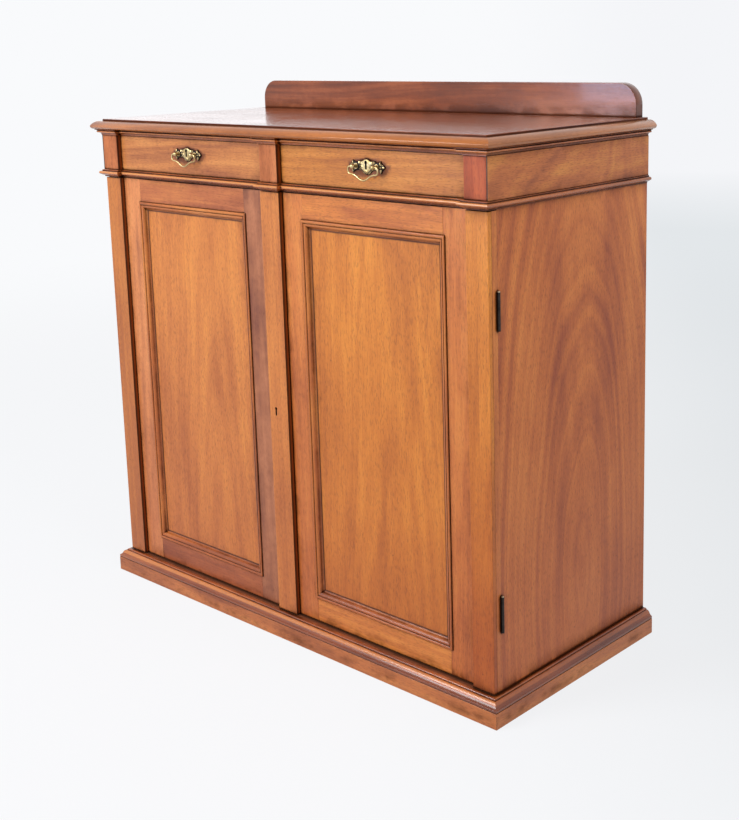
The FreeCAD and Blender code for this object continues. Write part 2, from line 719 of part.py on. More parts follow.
def door(name, sign, edge, inner_stile):
    """sign is the side of the hinges, edge the meeting edge, inner_stile the meeting stile's width
    from that edge to the panel moulding."""
    outer = sign * HALF
    mould_x = (outer - sign * (PILASTER_WIDTH + OUTER_SHOW), edge + sign * inner_stile)
    mould_x = (min(mould_x), max(mould_x))
    mould_z = (DOOR_Z[0] + RAIL_SHOW, DOOR_Z[1] - RAIL_SHOW)
    lap = BOLECTION_LAP
    open_x = (mould_x[0] + lap, mould_x[1] - lap)
    open_z = (mould_z[0] + lap, mould_z[1] - lap)
    panel_y = (FRAME_FACE + PANEL_SINK, FRAME_FACE + PANEL_SINK + PANEL_THICK)
    panel = box((open_x[0] - GROOVE, open_x[1] + GROOVE), panel_y, (open_z[0] - GROOVE, open_z[1] + GROOVE))

    hinge_edge, lock_edge = (open_x if sign < 0 else open_x[::-1])
    rails = []
    tenons = []
    for z in ((DOOR_Z[0], open_z[0]), (open_z[1], DOOR_Z[1])):
        upper = z[1] > open_z[1]
        low_cut, high_cut = (GROOVE + HAUNCH, HAUNCH) if upper else (HAUNCH, GROOVE + HAUNCH)
        tenon_z = (z[0] + low_cut, z[1] - high_cut)
        tenon = box((open_x[0] - TENON, open_x[1] + TENON), panel_y, tenon_z)
        rails.append(join([box(open_x, (FRAME_FACE, DOOR_BACK), z).cut(panel), tenon]))
        tenons.append(tenon)

    lip = box((hinge_edge, outer), (FRAME_FACE, JOINT), DOOR_Z)
    rebated = box((hinge_edge, outer - sign * (SIDE_THICK + REBATE_CLEAR)), (JOINT, DOOR_BACK), DOOR_Z)
    hinge_stile = cut_hinges(join([lip, rebated]).cut(tenons + [panel]))
    meeting_stile = box((lock_edge, edge), (FRAME_FACE, DOOR_BACK), DOOR_Z).cut(tenons + [panel])
    pilasters = [box((outer - sign * PILASTER_WIDTH, outer), (FACE, FRAME_FACE), DOOR_Z)]

    if sign < 0:
        meeting_stile = meeting_stile.cut([DOOR_KEY, door_lock_case()])
        centre = box((edge - CENTRE_PILASTER, edge), (FACE, FRAME_FACE), DOOR_Z)
        pilasters.append(centre.cut(DOOR_KEY))
    else:
        meeting_stile = meeting_stile.cut(door_strike())

    save(f"{name}_hinge_stile", hinge_stile)
    save(f"{name}_meeting_stile", meeting_stile)
    save(f"{name}_rails", *rails)
    save(f"{name}_panel", panel)
    save(f"{name}_panel_moulding", *mitred_frame(mould_x, mould_z))
    save(f"{name}_pilasters", *pilasters)


def doors():
    door("left_door", -1, DOOR_EDGES[0], CENTRE_PILASTER + LEFT_INNER_SHOW)
    door("right_door", 1, DOOR_EDGES[1], RIGHT_INNER_SHOW - MEETING_GAP)
    save("left_door_lock_case", door_lock_case().cut([DOOR_KEY, door_bolt_channel()]))
    save("left_door_lock_bolt", door_bolt())
    save("right_door_bolt_case", slip_case_shape())
    save("right_door_bolt", slip_bolt_shape())


# ---------------------------------------------------------------- drawers

def tails(x, y):
    """Tapered tails of one drawer corner, from y[0] (wide ends) to y[1] (roots)."""
    low, high = DRAWER_Z[0] + DRAWER_GAP, DRAWER_Z[1] - SIDE_DROP
    pitch = (high - low) / TAILS
    pieces = []
    for index in range(TAILS):
        middle = low + pitch * (index + 0.5)
        root = pitch / 2 - TAIL_FLARE
        tip = root + TAIL_FLARE * 0.7
        points = [(y[0], middle - tip), (y[0], middle + tip), (y[1], middle + root), (y[1], middle - root)]
        outline = Part.makePolygon([V(x[0], a, b) for a, b in points + points[:1]])
        pieces.append(Part.Face(outline).extrude(V(x[1] - x[0], 0, 0)))
    return pieces


def drawer(name, sign):
    centre = sign * DRAWER_CENTRE
    half = (OPENING_X[1] - OPENING_X[0]) / 2 - DRAWER_GAP
    outer = (centre - half, centre + half)
    side_z = (DRAWER_Z[0] + DRAWER_GAP, DRAWER_Z[1] - SIDE_DROP)
    bottom_z = (DRAWER_Z[0] + DRAWER_BOTTOM_RISE, DRAWER_Z[0] + DRAWER_BOTTOM_RISE + DRAWER_BOTTOM)
    inner = (outer[0] + DRAWER_SIDE, outer[1] - DRAWER_SIDE)
    groove_x = (inner[0] - DRAWER_GROOVE, inner[1] + DRAWER_GROOVE)
    bottom = box(groove_x, (DRAWER_FRONT_BACK - DRAWER_GROOVE, DRAWER_BACK_Y), bottom_z)

    tail_y = (DRAWER_FACE + LAP, DRAWER_FRONT_BACK)
    sides = []
    sockets = []
    for edge_x in ((outer[0], inner[0]), (inner[1], outer[1])):
        corner = tails(edge_x, tail_y)
        sockets += corner
        board = box(edge_x, (DRAWER_FRONT_BACK, DRAWER_BACK_Y), side_z)
        sides.append(join([board] + corner).cut(bottom))

    case = drawer_lock_case(centre)
    key_y = (PLATE_FACE - OVERCUT, DRAWER_FRONT_BACK - LOCK_THICK + KEY_DEPTH)
    key = keyhole(centre, HANDLE_Z + HANDLE_KEYHOLE_RISE, DRAWER_KEYHOLE, key_y)
    stems = [stem(centre + offset) for offset in (-POST_SPACING / 2, POST_SPACING / 2)]
    front = box(outer, (DRAWER_FACE, DRAWER_FRONT_BACK), DRAWER_Z)
    save(f"{name}_front", front.cut(sockets + [bottom, case, key] + stems))
    save(f"{name}_side_left", sides[0])
    save(f"{name}_side_right", sides[1])
    back_z = (bottom_z[1], DRAWER_Z[1] - BACK_DROP)
    save(f"{name}_back", box(inner, (DRAWER_BACK_Y - DRAWER_BACK, DRAWER_BACK_Y), back_z))
    save(f"{name}_bottom", bottom)
    save(f"{name}_lock_case", case.cut([key, drawer_bolt_channel(centre)]))
    save(f"{name}_lock_bolt", drawer_bolt(centre))
    handle(name, centre, key, stems)


# ---------------------------------------------------------------- handles

def stem(x):
    end = DRAWER_FRONT_BACK + NUT_THICK + STEM_PAST_NUT
    return rod(STEM_RADIUS, V(x, PLATE_FACE, HANDLE_Z), V(x, end, HANDLE_Z))


# The right half of the back plate: out from its middle, and up from the posts' centre line.
PLATE_HALF = [
    (0.0, 12.8),
    ((3.8, 12.3), (7.2, 10.6)),
    ((10.0, 9.1), (13.4, 8.8)),
    ((18.0, 9.4), (21.6, 7.6)),
    ((24.0, 6.0), (26.6, 6.8)),
    ((29.6, 7.2), (34.4, 10.6)),
    ((34.8, 7.0), (38.2, 4.4)),
    ((42.2, 1.8), (45.2, -1.2)),
    ((41.0, -2.4), (38.4, -5.4)),
    ((35.8, -8.2), (34.6, -12.2)),
    ((31.4, -8.8), (28.0, -6.8)),
    ((23.0, -6.6), (18.8, -6.0)),
    ((13.6, -7.2), (9.4, -11.0)),
    ((5.0, -13.8), (0.0, -14.4)),
]


def plate_shape(centre, tools):
    def place(sign):
        return lambda out, up: V(centre + sign * out, PLATE_FACE, HANDLE_Z + up)

    half = [face(PLATE_HALF, place(sign)).extrude(V(0, PLATE_THICK, 0)) for sign in (-1, 1)]
    return join(half).cut(tools)


def post_shape(x, hole):
    base = V(x, PLATE_FACE, HANDLE_Z)
    pivot = V(x, PIVOT_Y, HANDLE_Z)
    collar = rod(COLLAR_RADIUS, base, base - V(0, COLLAR_THICK, 0))
    neck = rod(POST_RADIUS, base, pivot)
    head = Part.makeSphere(HEAD_RADIUS, pivot)
    return join([stem(x), collar, neck, head]).cut(hole)


def nut_shape(x):
    y = (DRAWER_FRONT_BACK, DRAWER_FRONT_BACK + NUT_THICK)
    block = box(around(x, NUT_SIZE), y, around(HANDLE_Z, NUT_SIZE))
    return block.cut(stem(x))


def bail_shape(centre):
    """A round wire through the bends of a brace-shaped bail, hanging from its two straight ends."""
    inner = POST_SPACING / 2 - BAIL_START
    half = [(inner, 0.0), (BAIL_HALF, 0.0), (BAIL_HALF, -BAIL_SHOULDER), (BAIL_WAIST[0], -BAIL_WAIST[1])]
    points = half + [(0.0, -BAIL_DROP)] + [(-x, z) for x, z in half[::-1]]
    corners = [V(centre + x, PIVOT_Y, HANDLE_Z + z) for x, z in points]
    edges = []
    start = corners[0]
    for before, here, after in zip(corners, corners[1:], corners[2:]):
        back, on = (before - here), (after - here)
        turn = math.pi - back.getAngle(on)
        trim = BAIL_BEND * min(back.Length, on.Length)
        radius = trim / math.tan(turn / 2)
        back.normalize()
        on.normalize()
        bisector = back + on
        bisector.normalize()
        enter, leave = here + back * trim, here + on * trim
        centre_point = here + bisector * (radius / math.cos(turn / 2))
        middle = centre_point - bisector * radius
        edges.append(Part.makeLine(start, enter))
        edges.append(Part.Arc(enter, middle, leave).toShape())
        start = leave
    edges.append(Part.makeLine(start, corners[-1]))
    section = Part.Wire(Part.makeCircle(BAIL_RADIUS, corners[0], V(1, 0, 0)))
    return Part.Wire(edges).makePipeShell([section], True, True)


def handle(name, centre, key, stems):
    save(f"{name}_handle_plate", plate_shape(centre, [key] + stems))
    reach = POST_SPACING / 2 + 2 * HEAD_RADIUS
    pivot = V(centre, PIVOT_Y, HANDLE_Z)
    hole = rod(BAIL_RADIUS + BAIL_CLEAR, pivot - V(reach, 0, 0), pivot + V(reach, 0, 0))
    places = [centre - POST_SPACING / 2, centre + POST_SPACING / 2]
    save(f"{name}_handle_posts", *[post_shape(x, hole) for x in places], *[nut_shape(x) for x in places])
    save(f"{name}_bail", bail_shape(centre))


# ---------------------------------------------------------------- everything

os.makedirs("parts", exist_ok=True)
base_and_plinth()
carcase()
frieze()
drawer_strips()
top_and_gallery()
hinges()
doors()
drawer("left_drawer", -1)
drawer("right_drawer", 1)
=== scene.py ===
# %% [markdown]
# # A Victorian chiffonier in French-polished walnut
#
# A chiffonier is a low cupboard with drawers in its frieze. This one has two panelled doors
# between flat pilasters, two drawers with small cast brass handles, a moulded top and plinth,
# and a low rail at the back that keeps plates from the wall.
#
# The joinery comes ready made as a imported model: every board, hinge, lock and bolt is a mesh in
# metres, in its place. This lesson gives those boards their timber, polish, wax and wear, paints
# some light and shade into their colour, makes the brass handles in relief, and sets up the
# studio. We start by loading the model.

import math

import bmesh
import bpy
import numpy as np
from mathutils import Matrix, Vector
from mathutils.geometry import delaunay_2d_cdt


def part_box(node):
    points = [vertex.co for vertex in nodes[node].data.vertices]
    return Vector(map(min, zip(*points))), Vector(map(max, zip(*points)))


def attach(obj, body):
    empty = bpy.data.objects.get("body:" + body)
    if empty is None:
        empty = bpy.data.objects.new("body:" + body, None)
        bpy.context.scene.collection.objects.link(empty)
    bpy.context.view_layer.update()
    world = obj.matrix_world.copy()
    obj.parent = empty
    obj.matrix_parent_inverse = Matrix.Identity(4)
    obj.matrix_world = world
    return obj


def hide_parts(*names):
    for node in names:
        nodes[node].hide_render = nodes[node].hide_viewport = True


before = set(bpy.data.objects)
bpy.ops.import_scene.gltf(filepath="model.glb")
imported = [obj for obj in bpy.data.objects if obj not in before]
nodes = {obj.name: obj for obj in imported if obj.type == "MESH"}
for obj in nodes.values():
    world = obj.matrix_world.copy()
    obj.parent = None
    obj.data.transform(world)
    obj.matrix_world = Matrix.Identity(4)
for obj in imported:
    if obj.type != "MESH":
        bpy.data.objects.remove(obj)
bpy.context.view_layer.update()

# %% [markdown]
# A few helpers serve the whole lesson. Colours are written as a painter or a web page writes
# them, in sRGB hex, and Blender mixes light in linear numbers, so one function turns the one into
# the other. Materials are graphs of nodes, and one small function adds a node, sets its options
# and links its inputs. The word after a node's kind is its main choice, such as what a Math node
# does. Inputs come in the order in which Blender shows them, or by name, and each may be a number,
# a colour, another node or one output of it.

# %% Colour and node helpers
MM = 0.001
MAIN_CHOICE = {"Math": "operation", "VectorMath": "operation", "Mix": "data_type",
               "MapRange": "interpolation_type"}


def colour(hex_code):
    """An sRGB hex colour as the linear colour that Blender mixes with."""
    shares = [int(hex_code[i:i + 2], 16) / 255 for i in (1, 3, 5)]
    return [s / 12.92 if s <= 0.04045 else ((s + 0.055) / 1.055) ** 2.4 for s in shares] + [1.0]


def add(tree, kind, inputs=(), **settings):
    """Adds a shader node with its settings, and links or sets its inputs in order or by name."""
    kind, _, choice = kind.partition(" ")
    if choice:
        settings[MAIN_CHOICE[kind]] = choice
    node = tree.nodes.new("ShaderNode" + kind)
    for name, value in settings.items():
        setattr(node, name, value)
    sockets = [socket for socket in node.inputs if socket.enabled]
    if isinstance(inputs, dict):
        sockets = [next(s for s in sockets if s.name == name) for name in inputs]
        inputs = inputs.values()
    for socket, value in zip(sockets, inputs):
        if isinstance(value, bpy.types.Node):
            value = next(s for s in value.outputs if s.enabled)
        if isinstance(value, bpy.types.NodeSocket):
            tree.links.new(value, socket)
        else:
            socket.default_value = value
    return node


def new_material(name):
    material = bpy.data.materials.new(name)
    material.use_nodes = True
    material.node_tree.nodes.clear()
    return material, material.node_tree


def position(tree):
    """Where a point of the piece lies at rest, as three outputs in metres."""
    return add(tree, "SeparateXYZ", [add(tree, "TexCoord").outputs["Object"]]).outputs


def seen_from(tree, middle):
    """The same place in metres, as one vector from the middle of a piece."""
    return add(tree, "VectorMath SUBTRACT", [add(tree, "TexCoord").outputs["Object"], list(middle)])


def outward(tree):
    """Which way a face looks, as three outputs."""
    return add(tree, "SeparateXYZ", [add(tree, "NewGeometry").outputs["Normal"]]).outputs


print("walnut brown in linear light:", [round(v, 3) for v in colour("#A0602F")[:3]])

# %% [markdown]
# ## The camera
#
# The piece is seen from its right front corner, a little above the top. The camera stands where
# its level, its turn and its slight roll make the verticals and the two vanishing directions
# fall as they should. A lens shift keeps the horizon high in the frame without tilting the
# camera further, which would make the uprights converge.

# %% Place the camera
FRAME_SIZE = (739, 820)
FOCAL_PIXELS = 1304.74
AXIS_PIXEL = (422.15, 290.14)
EYE = Vector((1.86161, -1.83294, 1.17308))
TURN, TILT, ROLL = (math.radians(v) for v in (42.58, -10.98, -1.37))
SENSOR_MM = 36.0

forward = Vector((-math.sin(TURN) * math.cos(TILT), math.cos(TURN) * math.cos(TILT),
                  math.sin(TILT)))
level = Vector((math.cos(TURN), math.sin(TURN), 0.0))
upright = level.cross(forward)
camera_right = math.cos(ROLL) * level + math.sin(ROLL) * upright
camera_up = -math.sin(ROLL) * level + math.cos(ROLL) * upright

lens = bpy.data.cameras.new("studio_camera")
lens.sensor_width = SENSOR_MM
lens.lens = FOCAL_PIXELS / max(FRAME_SIZE) * SENSOR_MM
lens.shift_x = (FRAME_SIZE[0] / 2 - AXIS_PIXEL[0]) / max(FRAME_SIZE)
lens.shift_y = (AXIS_PIXEL[1] - FRAME_SIZE[1] / 2) / max(FRAME_SIZE)
camera = bpy.data.objects.new("studio_camera", lens)
turned = Matrix((camera_right, camera_up, -forward)).transposed()
camera.matrix_world = Matrix.Translation(EYE) @ turned.to_4x4()
bpy.context.scene.collection.objects.link(camera)
bpy.context.scene.camera = camera
print("lens", round(lens.lens, 2), "mm")

# %% [markdown]
# ## The studio
#
# A polished cabinet shows its room as much as its timber. Here the room is white: a pale floor,
# pale walls and tall windows to the left. The world stands for the walls. It lights the piece
# softly, and rays from the camera or from a reflection see it as nearly white. The window is a
# tall area lamp in front, a little to the left: high enough that the doors grow darker towards the
# floor, and placed so that its mirror image doesn't fall on the doors, where it would lie over
# the colour as a grey haze. A small low one beside it is what the right end of the rail shows as
# a cool sheen. Another, further back on the left, is what the top mirrors, and a weak one on the
# right keeps the side readable.

# %% World and lamps
scene = bpy.context.scene
scene.view_settings.view_transform = "Standard"

WALL_LIGHT, WALL_SHADE = colour("#F9FAFC"), colour("#F4F5F8")
ROOM_LEVEL = 0.42


def seen(tree):
    """One for rays that come from the camera, from a reflection or through glass."""
    rays = add(tree, "LightPath").outputs
    either = add(tree, "Math MAXIMUM", [rays["Is Camera Ray"], rays["Is Glossy Ray"]])
    return add(tree, "Math MAXIMUM", [either, rays["Is Transmission Ray"]])


def aside(tree, place, start, end):
    """Rises from 0 to 1 between two places to the right of the middle of the view."""
    to_the_right = add(tree, "VectorMath DOT_PRODUCT", [place, list(level)])
    return add(tree, "MapRange SMOOTHSTEP", [to_the_right, start, end])


world = bpy.data.worlds.new("white_room")
scene.world = world
world.use_nodes = True
room = world.node_tree
room.nodes.clear()
towards = add(room, "TexCoord").outputs["Generated"]
# Painted shade: the walls are darker towards the right.
walls = add(room, "Mix RGBA", [aside(room, towards, 0.03, 0.2), WALL_LIGHT, WALL_SHADE])
shown = add(room, "Background", [walls, 1.0])
ambient = add(room, "Background", [colour("#FBFAF8"), ROOM_LEVEL])
add(room, "OutputWorld", [add(room, "MixShader", [seen(room), ambient, shown])])


def lamp(name, place, aim, size, watts, tint):
    light = bpy.data.lights.new(name, "AREA")
    light.shape, light.size, light.size_y = "RECTANGLE", size[0], size[1]
    light.energy = watts
    light.color = colour(tint)[:3]
    obj = bpy.data.objects.new(name, light)
    obj.location = place
    obj.rotation_euler = (Vector(aim) - Vector(place)).to_track_quat("-Z", "Y").to_euler()
    obj.visible_camera = False
    scene.collection.objects.link(obj)


lamp("window_front", (-1.5, -3.3, 2.6), (0.0, 0.0, 0.8), (2.0, 2.6), 140.0, "#FFFDFA")
lamp("window_back", (-3.4, 2.6, 1.0), (0.0, 0.0, 1.0), (2.6, 1.9), 6.8, "#F4F9FF")
lamp("low_window", (-1.46, -2.82, 0.85), (0.5, 0.2, 1.05), (0.5, 0.7), 8.8, "#C6D8FF")
lamp("fill_right", (3.2, -0.3, 2.5), (0.0, 0.0, 0.7), (1.8, 1.8), 46.0, "#FFFDFA")
print(len(bpy.data.lights), "lamps")

# %% [markdown]
# The floor is one wide plane that takes only the shadow from the piece. Most of what the camera
# sees of it is a plain near white of its own, and the rest is lit paint, so that the contact
# shadow stays faint, as it is on a white studio floor in a bright room. A few metres out the lit
# part fades away and the floor takes the tone of the walls, so that no horizon shows.

# %% Floor
FLOOR_HALF = 9.0
PAINT_NEAR, PAINT_FAR = 1.6, 5.0        # where the lit paint starts to fade, and where it ends
WALL_NEAR, WALL_FAR = 5.4, 8.8          # where the floor takes the tone of the walls
GLOW_NEAR = 0.87                        # how much of the floor's tone is its own, by the piece

floor_mesh = bpy.data.meshes.new("studio_floor")
corners = [(x * FLOOR_HALF, y * FLOOR_HALF, 0.0) for x, y in ((-1, -1), (1, -1), (1, 1), (-1, 1))]
floor_mesh.from_pydata(corners, [], [(0, 1, 2, 3)])
floor = bpy.data.objects.new("studio_floor", floor_mesh)
scene.collection.objects.link(floor)

paint, tree = new_material("painted_white_floor")
where = add(tree, "TexCoord").outputs["Object"]
out = add(tree, "VectorMath LENGTH", [where])
at_the_wall = add(tree, "MapRange", [out, WALL_NEAR, WALL_FAR])
# Painted shade: the floor is darker towards the right, and takes the walls' shaded tone further
# out.
side_shade_tone = add(tree, "Mix RGBA", [at_the_wall, colour("#E3E7EA"), WALL_SHADE])
tone = add(tree, "Mix RGBA", [aside(tree, where, -0.1, 1.7), WALL_LIGHT, side_shade_tone])
distant = add(tree, "MapRange SMOOTHSTEP", [out, PAINT_NEAR, PAINT_FAR])
glow = add(tree, "Emission", [tone, add(tree, "MapRange", [distant, 0.0, 1.0, GLOW_NEAR, 1.0])])
fading = add(tree, "Mix RGBA", [distant, colour("#5E5F61"), colour("#000000")])
thin_paint = add(tree, "BsdfDiffuse", [fading])
full_paint = add(tree, "BsdfDiffuse", [colour("#CFCFCD")])
lit = add(tree, "AddShader", [glow, thin_paint])
add(tree, "OutputMaterial", [add(tree, "MixShader", [seen(tree), full_paint, lit])])
floor_mesh.materials.append(paint)
print("floor of", 2 * FLOOR_HALF, "m")

# %% [markdown]
# ## What walnut is made of
#
# A board is a slice through a trunk, so its pattern is solid: the end, edge and face of one board
# show the same rings cut three ways. We draw the tree and not the surface. Coordinates are turned
# until one axis runs along the grain, and the distance from a slightly leaning line, the pith of
# the log, gives the rings. Where the pith leans through the board, the rings close into tall
# arches, which a joiner calls cathedral figure.
#
# The ring pattern is a one-dimensional noise of that distance, because real seasons differ, and
# even stripes look printed. Over it lie soft streaks a few centimetres wide, fibres, and open
# pores, all drawn out along the grain. Walnut's pores are about a fifth of a millimetre wide, too
# fine to show from here, so they are drawn a millimetre and a half wide, with their real length of
# about a centimetre.
#
# The polish is shellac, put on with a pad in many thin coats over a century and a half: a warm,
# clear film that is nearly smooth, with the pores just telling through it. Wax and dust have
# gathered in every quirk and inside corner, and the shade that falls there is painted in with
# them; handling has rubbed the outer edges pale. Both are found by looking round each point. One
# occlusion test reaches a few millimetres and finds the quirks, painted nearly black as wax and
# shade; another reaches further and finds the corners, painted with smeared wax and shade. On the
# edges, a rounded normal differs from the flat one.

# %% The finishes
WALNUT = {
    "kind": "french_polished_walnut",
    "tones": ("#DB8B3E", "#C87334", "#9C4A20"), "pore": "#4E200D", "wax_and_shade": "#2A0E05",
    # Sizes of the pattern across the grain in millimetres, and the share of each in the tone.
    "ring": 9.0, "fibre": 1.6, "streak": 30.0, "cloud": 120.0, "mottle": 18.0,
    "ring_share": 0.2, "fibre_share": 0.16, "streak_share": 0.5, "cloud_share": 0.3,
    "mottle_share": 0.1, "board_share": 0.2, "pore_share": 0.45, "knot_share": 0.0,
    # Wear and painted shade: wax and shade in the quirks, smudges and shade in the corners, rubbed
    # edges, and painted shade towards the floor.
    "wax_and_shade_share": 0.94, "smudge_and_shade": 0.72, "smudge_spread": 0.0, "edge_share": 0.4, "low_shade_share": 0.5,
    # The film of polish over it.
    "rough": 0.34, "shine": 0.42, "coat": 0.06, "coat_rough": 0.14, "bump": 0.05,
}
PANEL = dict(WALNUT, tones=("#DB8C3E", "#CB7B37", "#AE6029"), streak=38.0, streak_share=0.4,
             fibre_share=0.3, pore_share=0.52)
GOLD = dict(PANEL, tones=("#DD8C34", "#CA782A", "#AB5D1F"), shine=0.38)
SMUDGED_SHADED_GOLD = dict(GOLD, low_shade_share=0.9, smudge_and_shade=1.0, smudge_spread=0.16)
DRAWER = dict(PANEL, tones=("#D08A4A", "#BB743D", "#8C4A28"), streak=26.0, ring=13.0,
              ring_share=0.34, shine=0.38, smudge_and_shade=0.6)
RIGHT_DRAWER = dict(DRAWER, tones=("#D28A3E", "#BE752F", "#955022"), shine=0.34)
RAIL = dict(WALNUT, tones=("#DC8B3C", "#CC7832", "#A25222"), streak=20.0, streak_share=0.4,
            low_shade_share=0.15)
LEFT_RAIL = dict(RAIL, tones=("#C6793E", "#B06235", "#864021"), low_shade_share=0.5)
STILE = dict(WALNUT, tones=("#D8873E", "#C87333", "#9A4C20"), streak=20.0, streak_share=0.34)
LEFT_STILE = dict(STILE, tones=("#E0955A", "#CF814C", "#A05C36"))
FIGURED = dict(WALNUT, tones=("#B87550", "#A0603E", "#713825"), mottle=26.0, mottle_share=0.22,
               low_shade_share=0.2)
SIDE = dict(WALNUT, tones=("#D47E3A", "#BF682D", "#96441E"), ring=17.0, ring_share=0.4,
            fibre_share=0.28, streak=60.0, streak_share=0.35, mottle_share=0.08, low_shade_share=0.36,
            pore_share=0.55, smudge_and_shade=1.0, smudge_spread=0.18)
GOLDEN_SIDE = dict(SIDE, tones=("#CD833E", "#B86834", "#824023"), ring=7.0, streak=24.0)
RED = dict(WALNUT, tones=("#BF5F2C", "#AC4E1E", "#7E3412"), shine=0.24)
PANEL_MOULDING = dict(WALNUT, tones=("#D08238", "#B86528", "#70320F"), mottle_share=0.04, smudge_spread=0.06,
                      rough=0.3, coat=0.12)
MOULDING = dict(WALNUT, tones=("#C97636", "#AE5B26", "#743314"), mottle_share=0.04, rough=0.24,
                coat=0.45, coat_rough=0.09, low_shade_share=0.25)
PLINTH = dict(WALNUT, tones=("#D68A48", "#C0713A", "#8A4520"), streak=34.0, low_shade_share=0.25,
              pore_share=0.5)
TOP = dict(WALNUT, tones=("#A35831", "#854120", "#5A2815"), rough=0.14, coat=0.12, coat_rough=0.05,
           shine=0.4, wax_and_shade_share=0.75, smudge_spread=0.08, ring=14.0, ring_share=0.45, pore_share=0.3,
           low_shade_share=0.0)
GALLERY = dict(TOP, edge_share=0.0, coat=0.3)
PINE = dict(WALNUT, kind="bare_aged_pine", tones=("#CFA26C", "#B9874F", "#8E5C31"), pore="#7A4C28",
            wax_and_shade="#33231A", ring=6.0, ring_share=0.6, streak_share=0.3, cloud_share=0.2,
            mottle_share=0.03, pore_share=0.12, knot_share=1.0, wax_and_shade_share=0.75, edge_share=0.15,
            low_shade_share=0.0, rough=0.68, coat=0.0, bump=0.11)
BACK_PINE = dict(PINE, tones=("#C4925E", "#AE7C4B", "#825634"), ring_share=0.45)
print(len(WALNUT), "values describe one finish of", WALNUT["kind"])

# %% [markdown]
# A material is built for each piece. `order` names the axes along the grain, across it and
# through the board. A frame or moulding that turns a mitred corner has its grain turned as well,
# so `turned` gives the second order and `mitre` the line where it changes. `boards` says how a
# piece that holds several boards is divided, so that each gets its own tone and its own stretch
# of tree.

# %% Coordinates that follow the grain
AXES = "xyz"
NEXT_BOARD = (900.0, 60.0, 40.0)      # how far off in the tree the next board may be, in mm


def past_corner(tree, axis, mitre):
    """One beyond the mitre, and a number that tells the lengths of a frame or moulding apart."""
    first, second, second_centre, line, reach = mitre
    a = add(tree, "Math ABSOLUTE", [axis[first]])
    b = add(tree, "Math ABSOLUTE", [add(tree, "Math SUBTRACT", [axis[second], second_centre])])
    beyond = add(tree, "Math GREATER_THAN", [add(tree, "Math SUBTRACT", [a, b]), line])
    outside = add(tree, "Math GREATER_THAN", [a, reach])
    beyond = add(tree, "Math MULTIPLY", [beyond, outside])
    side = add(tree, "Math MULTIPLY", [add(tree, "Math SIGN", [axis[first]]), beyond])
    if second != "z":
        return beyond, side
    upper = add(tree, "Math SIGN", [axis[second]])
    end = add(tree, "Math MULTIPLY", [upper, add(tree, "Math SUBTRACT", [1.0, beyond])])
    return beyond, add(tree, "Math MULTIPLY_ADD", [end, 5.0, side])


def grain_place(tree, centre, order, turned, mitre, boards, seed):
    """Millimetres along, across and through the grain, and a random number for each board."""
    scaled = add(tree, "VectorMath SCALE", [seen_from(tree, centre), 1 / MM])
    axis = dict(zip(AXES, add(tree, "SeparateXYZ", [scaled]).outputs))
    place = add(tree, "CombineXYZ", [axis[letter] for letter in order]).outputs[0]
    if turned:
        beyond, board = past_corner(tree, axis, mitre)
        other = add(tree, "CombineXYZ", [axis[letter] for letter in turned])
        place = add(tree, "Mix VECTOR", [beyond, place, other])
    elif boards:
        letter, start, pitch = boards
        count = add(tree, "Math SUBTRACT", [axis[letter], start])
        board = add(tree, "Math FLOOR", [add(tree, "Math DIVIDE", [count, pitch])])
    else:
        return place, None
    mark = add(tree, "Math ADD", [board, seed + 0.5])
    chance = add(tree, "TexWhiteNoise", {"W": mark}, noise_dimensions="1D").outputs
    shift = add(tree, "VectorMath MULTIPLY", [chance["Color"], NEXT_BOARD])
    return add(tree, "VectorMath ADD", [place, shift]).outputs[0], chance["Value"]


print("grain can run along", ", ".join(AXES))

# %% [markdown]
# `pith` is the place of the heart of the log, and `lean` how fast it wanders from the line of the
# board. The distance to it, pushed about by a slow noise and by knots, is read by a noise of one
# dimension, and that gives rings.

# %% Rings
KNOT_PITCH, KNOT_PUSH = 150.0, 26.0      # how far apart knots are, and how far they push the rings
WANDER = 34.0                            # how far the rings wander, in millimetres


def drawn_out(tree, grain, size, stretch, detail=2.0, rough=0.5):
    """Noise with features of that size in millimetres, stretched along the grain."""
    place, start = grain
    narrow = add(tree, "VectorMath MULTIPLY", [place, (1 / stretch, 1.0, 1.0)])
    moved = add(tree, "VectorMath ADD", [narrow, start])
    return add(tree, "TexNoise", {"Vector": moved, "Scale": 1 / size, "Detail": detail,
                                  "Roughness": rough})


def knots(tree, grain):
    """The distance to the nearest knot: tall ovals that go right through the board."""
    place, start = grain
    tall = add(tree, "VectorMath MULTIPLY", [place, (1 / 2.4, 1.0, 0.25)])
    return add(tree, "TexVoronoi", {"Vector": add(tree, "VectorMath ADD", [tall, start]),
                                    "Scale": 1 / KNOT_PITCH})


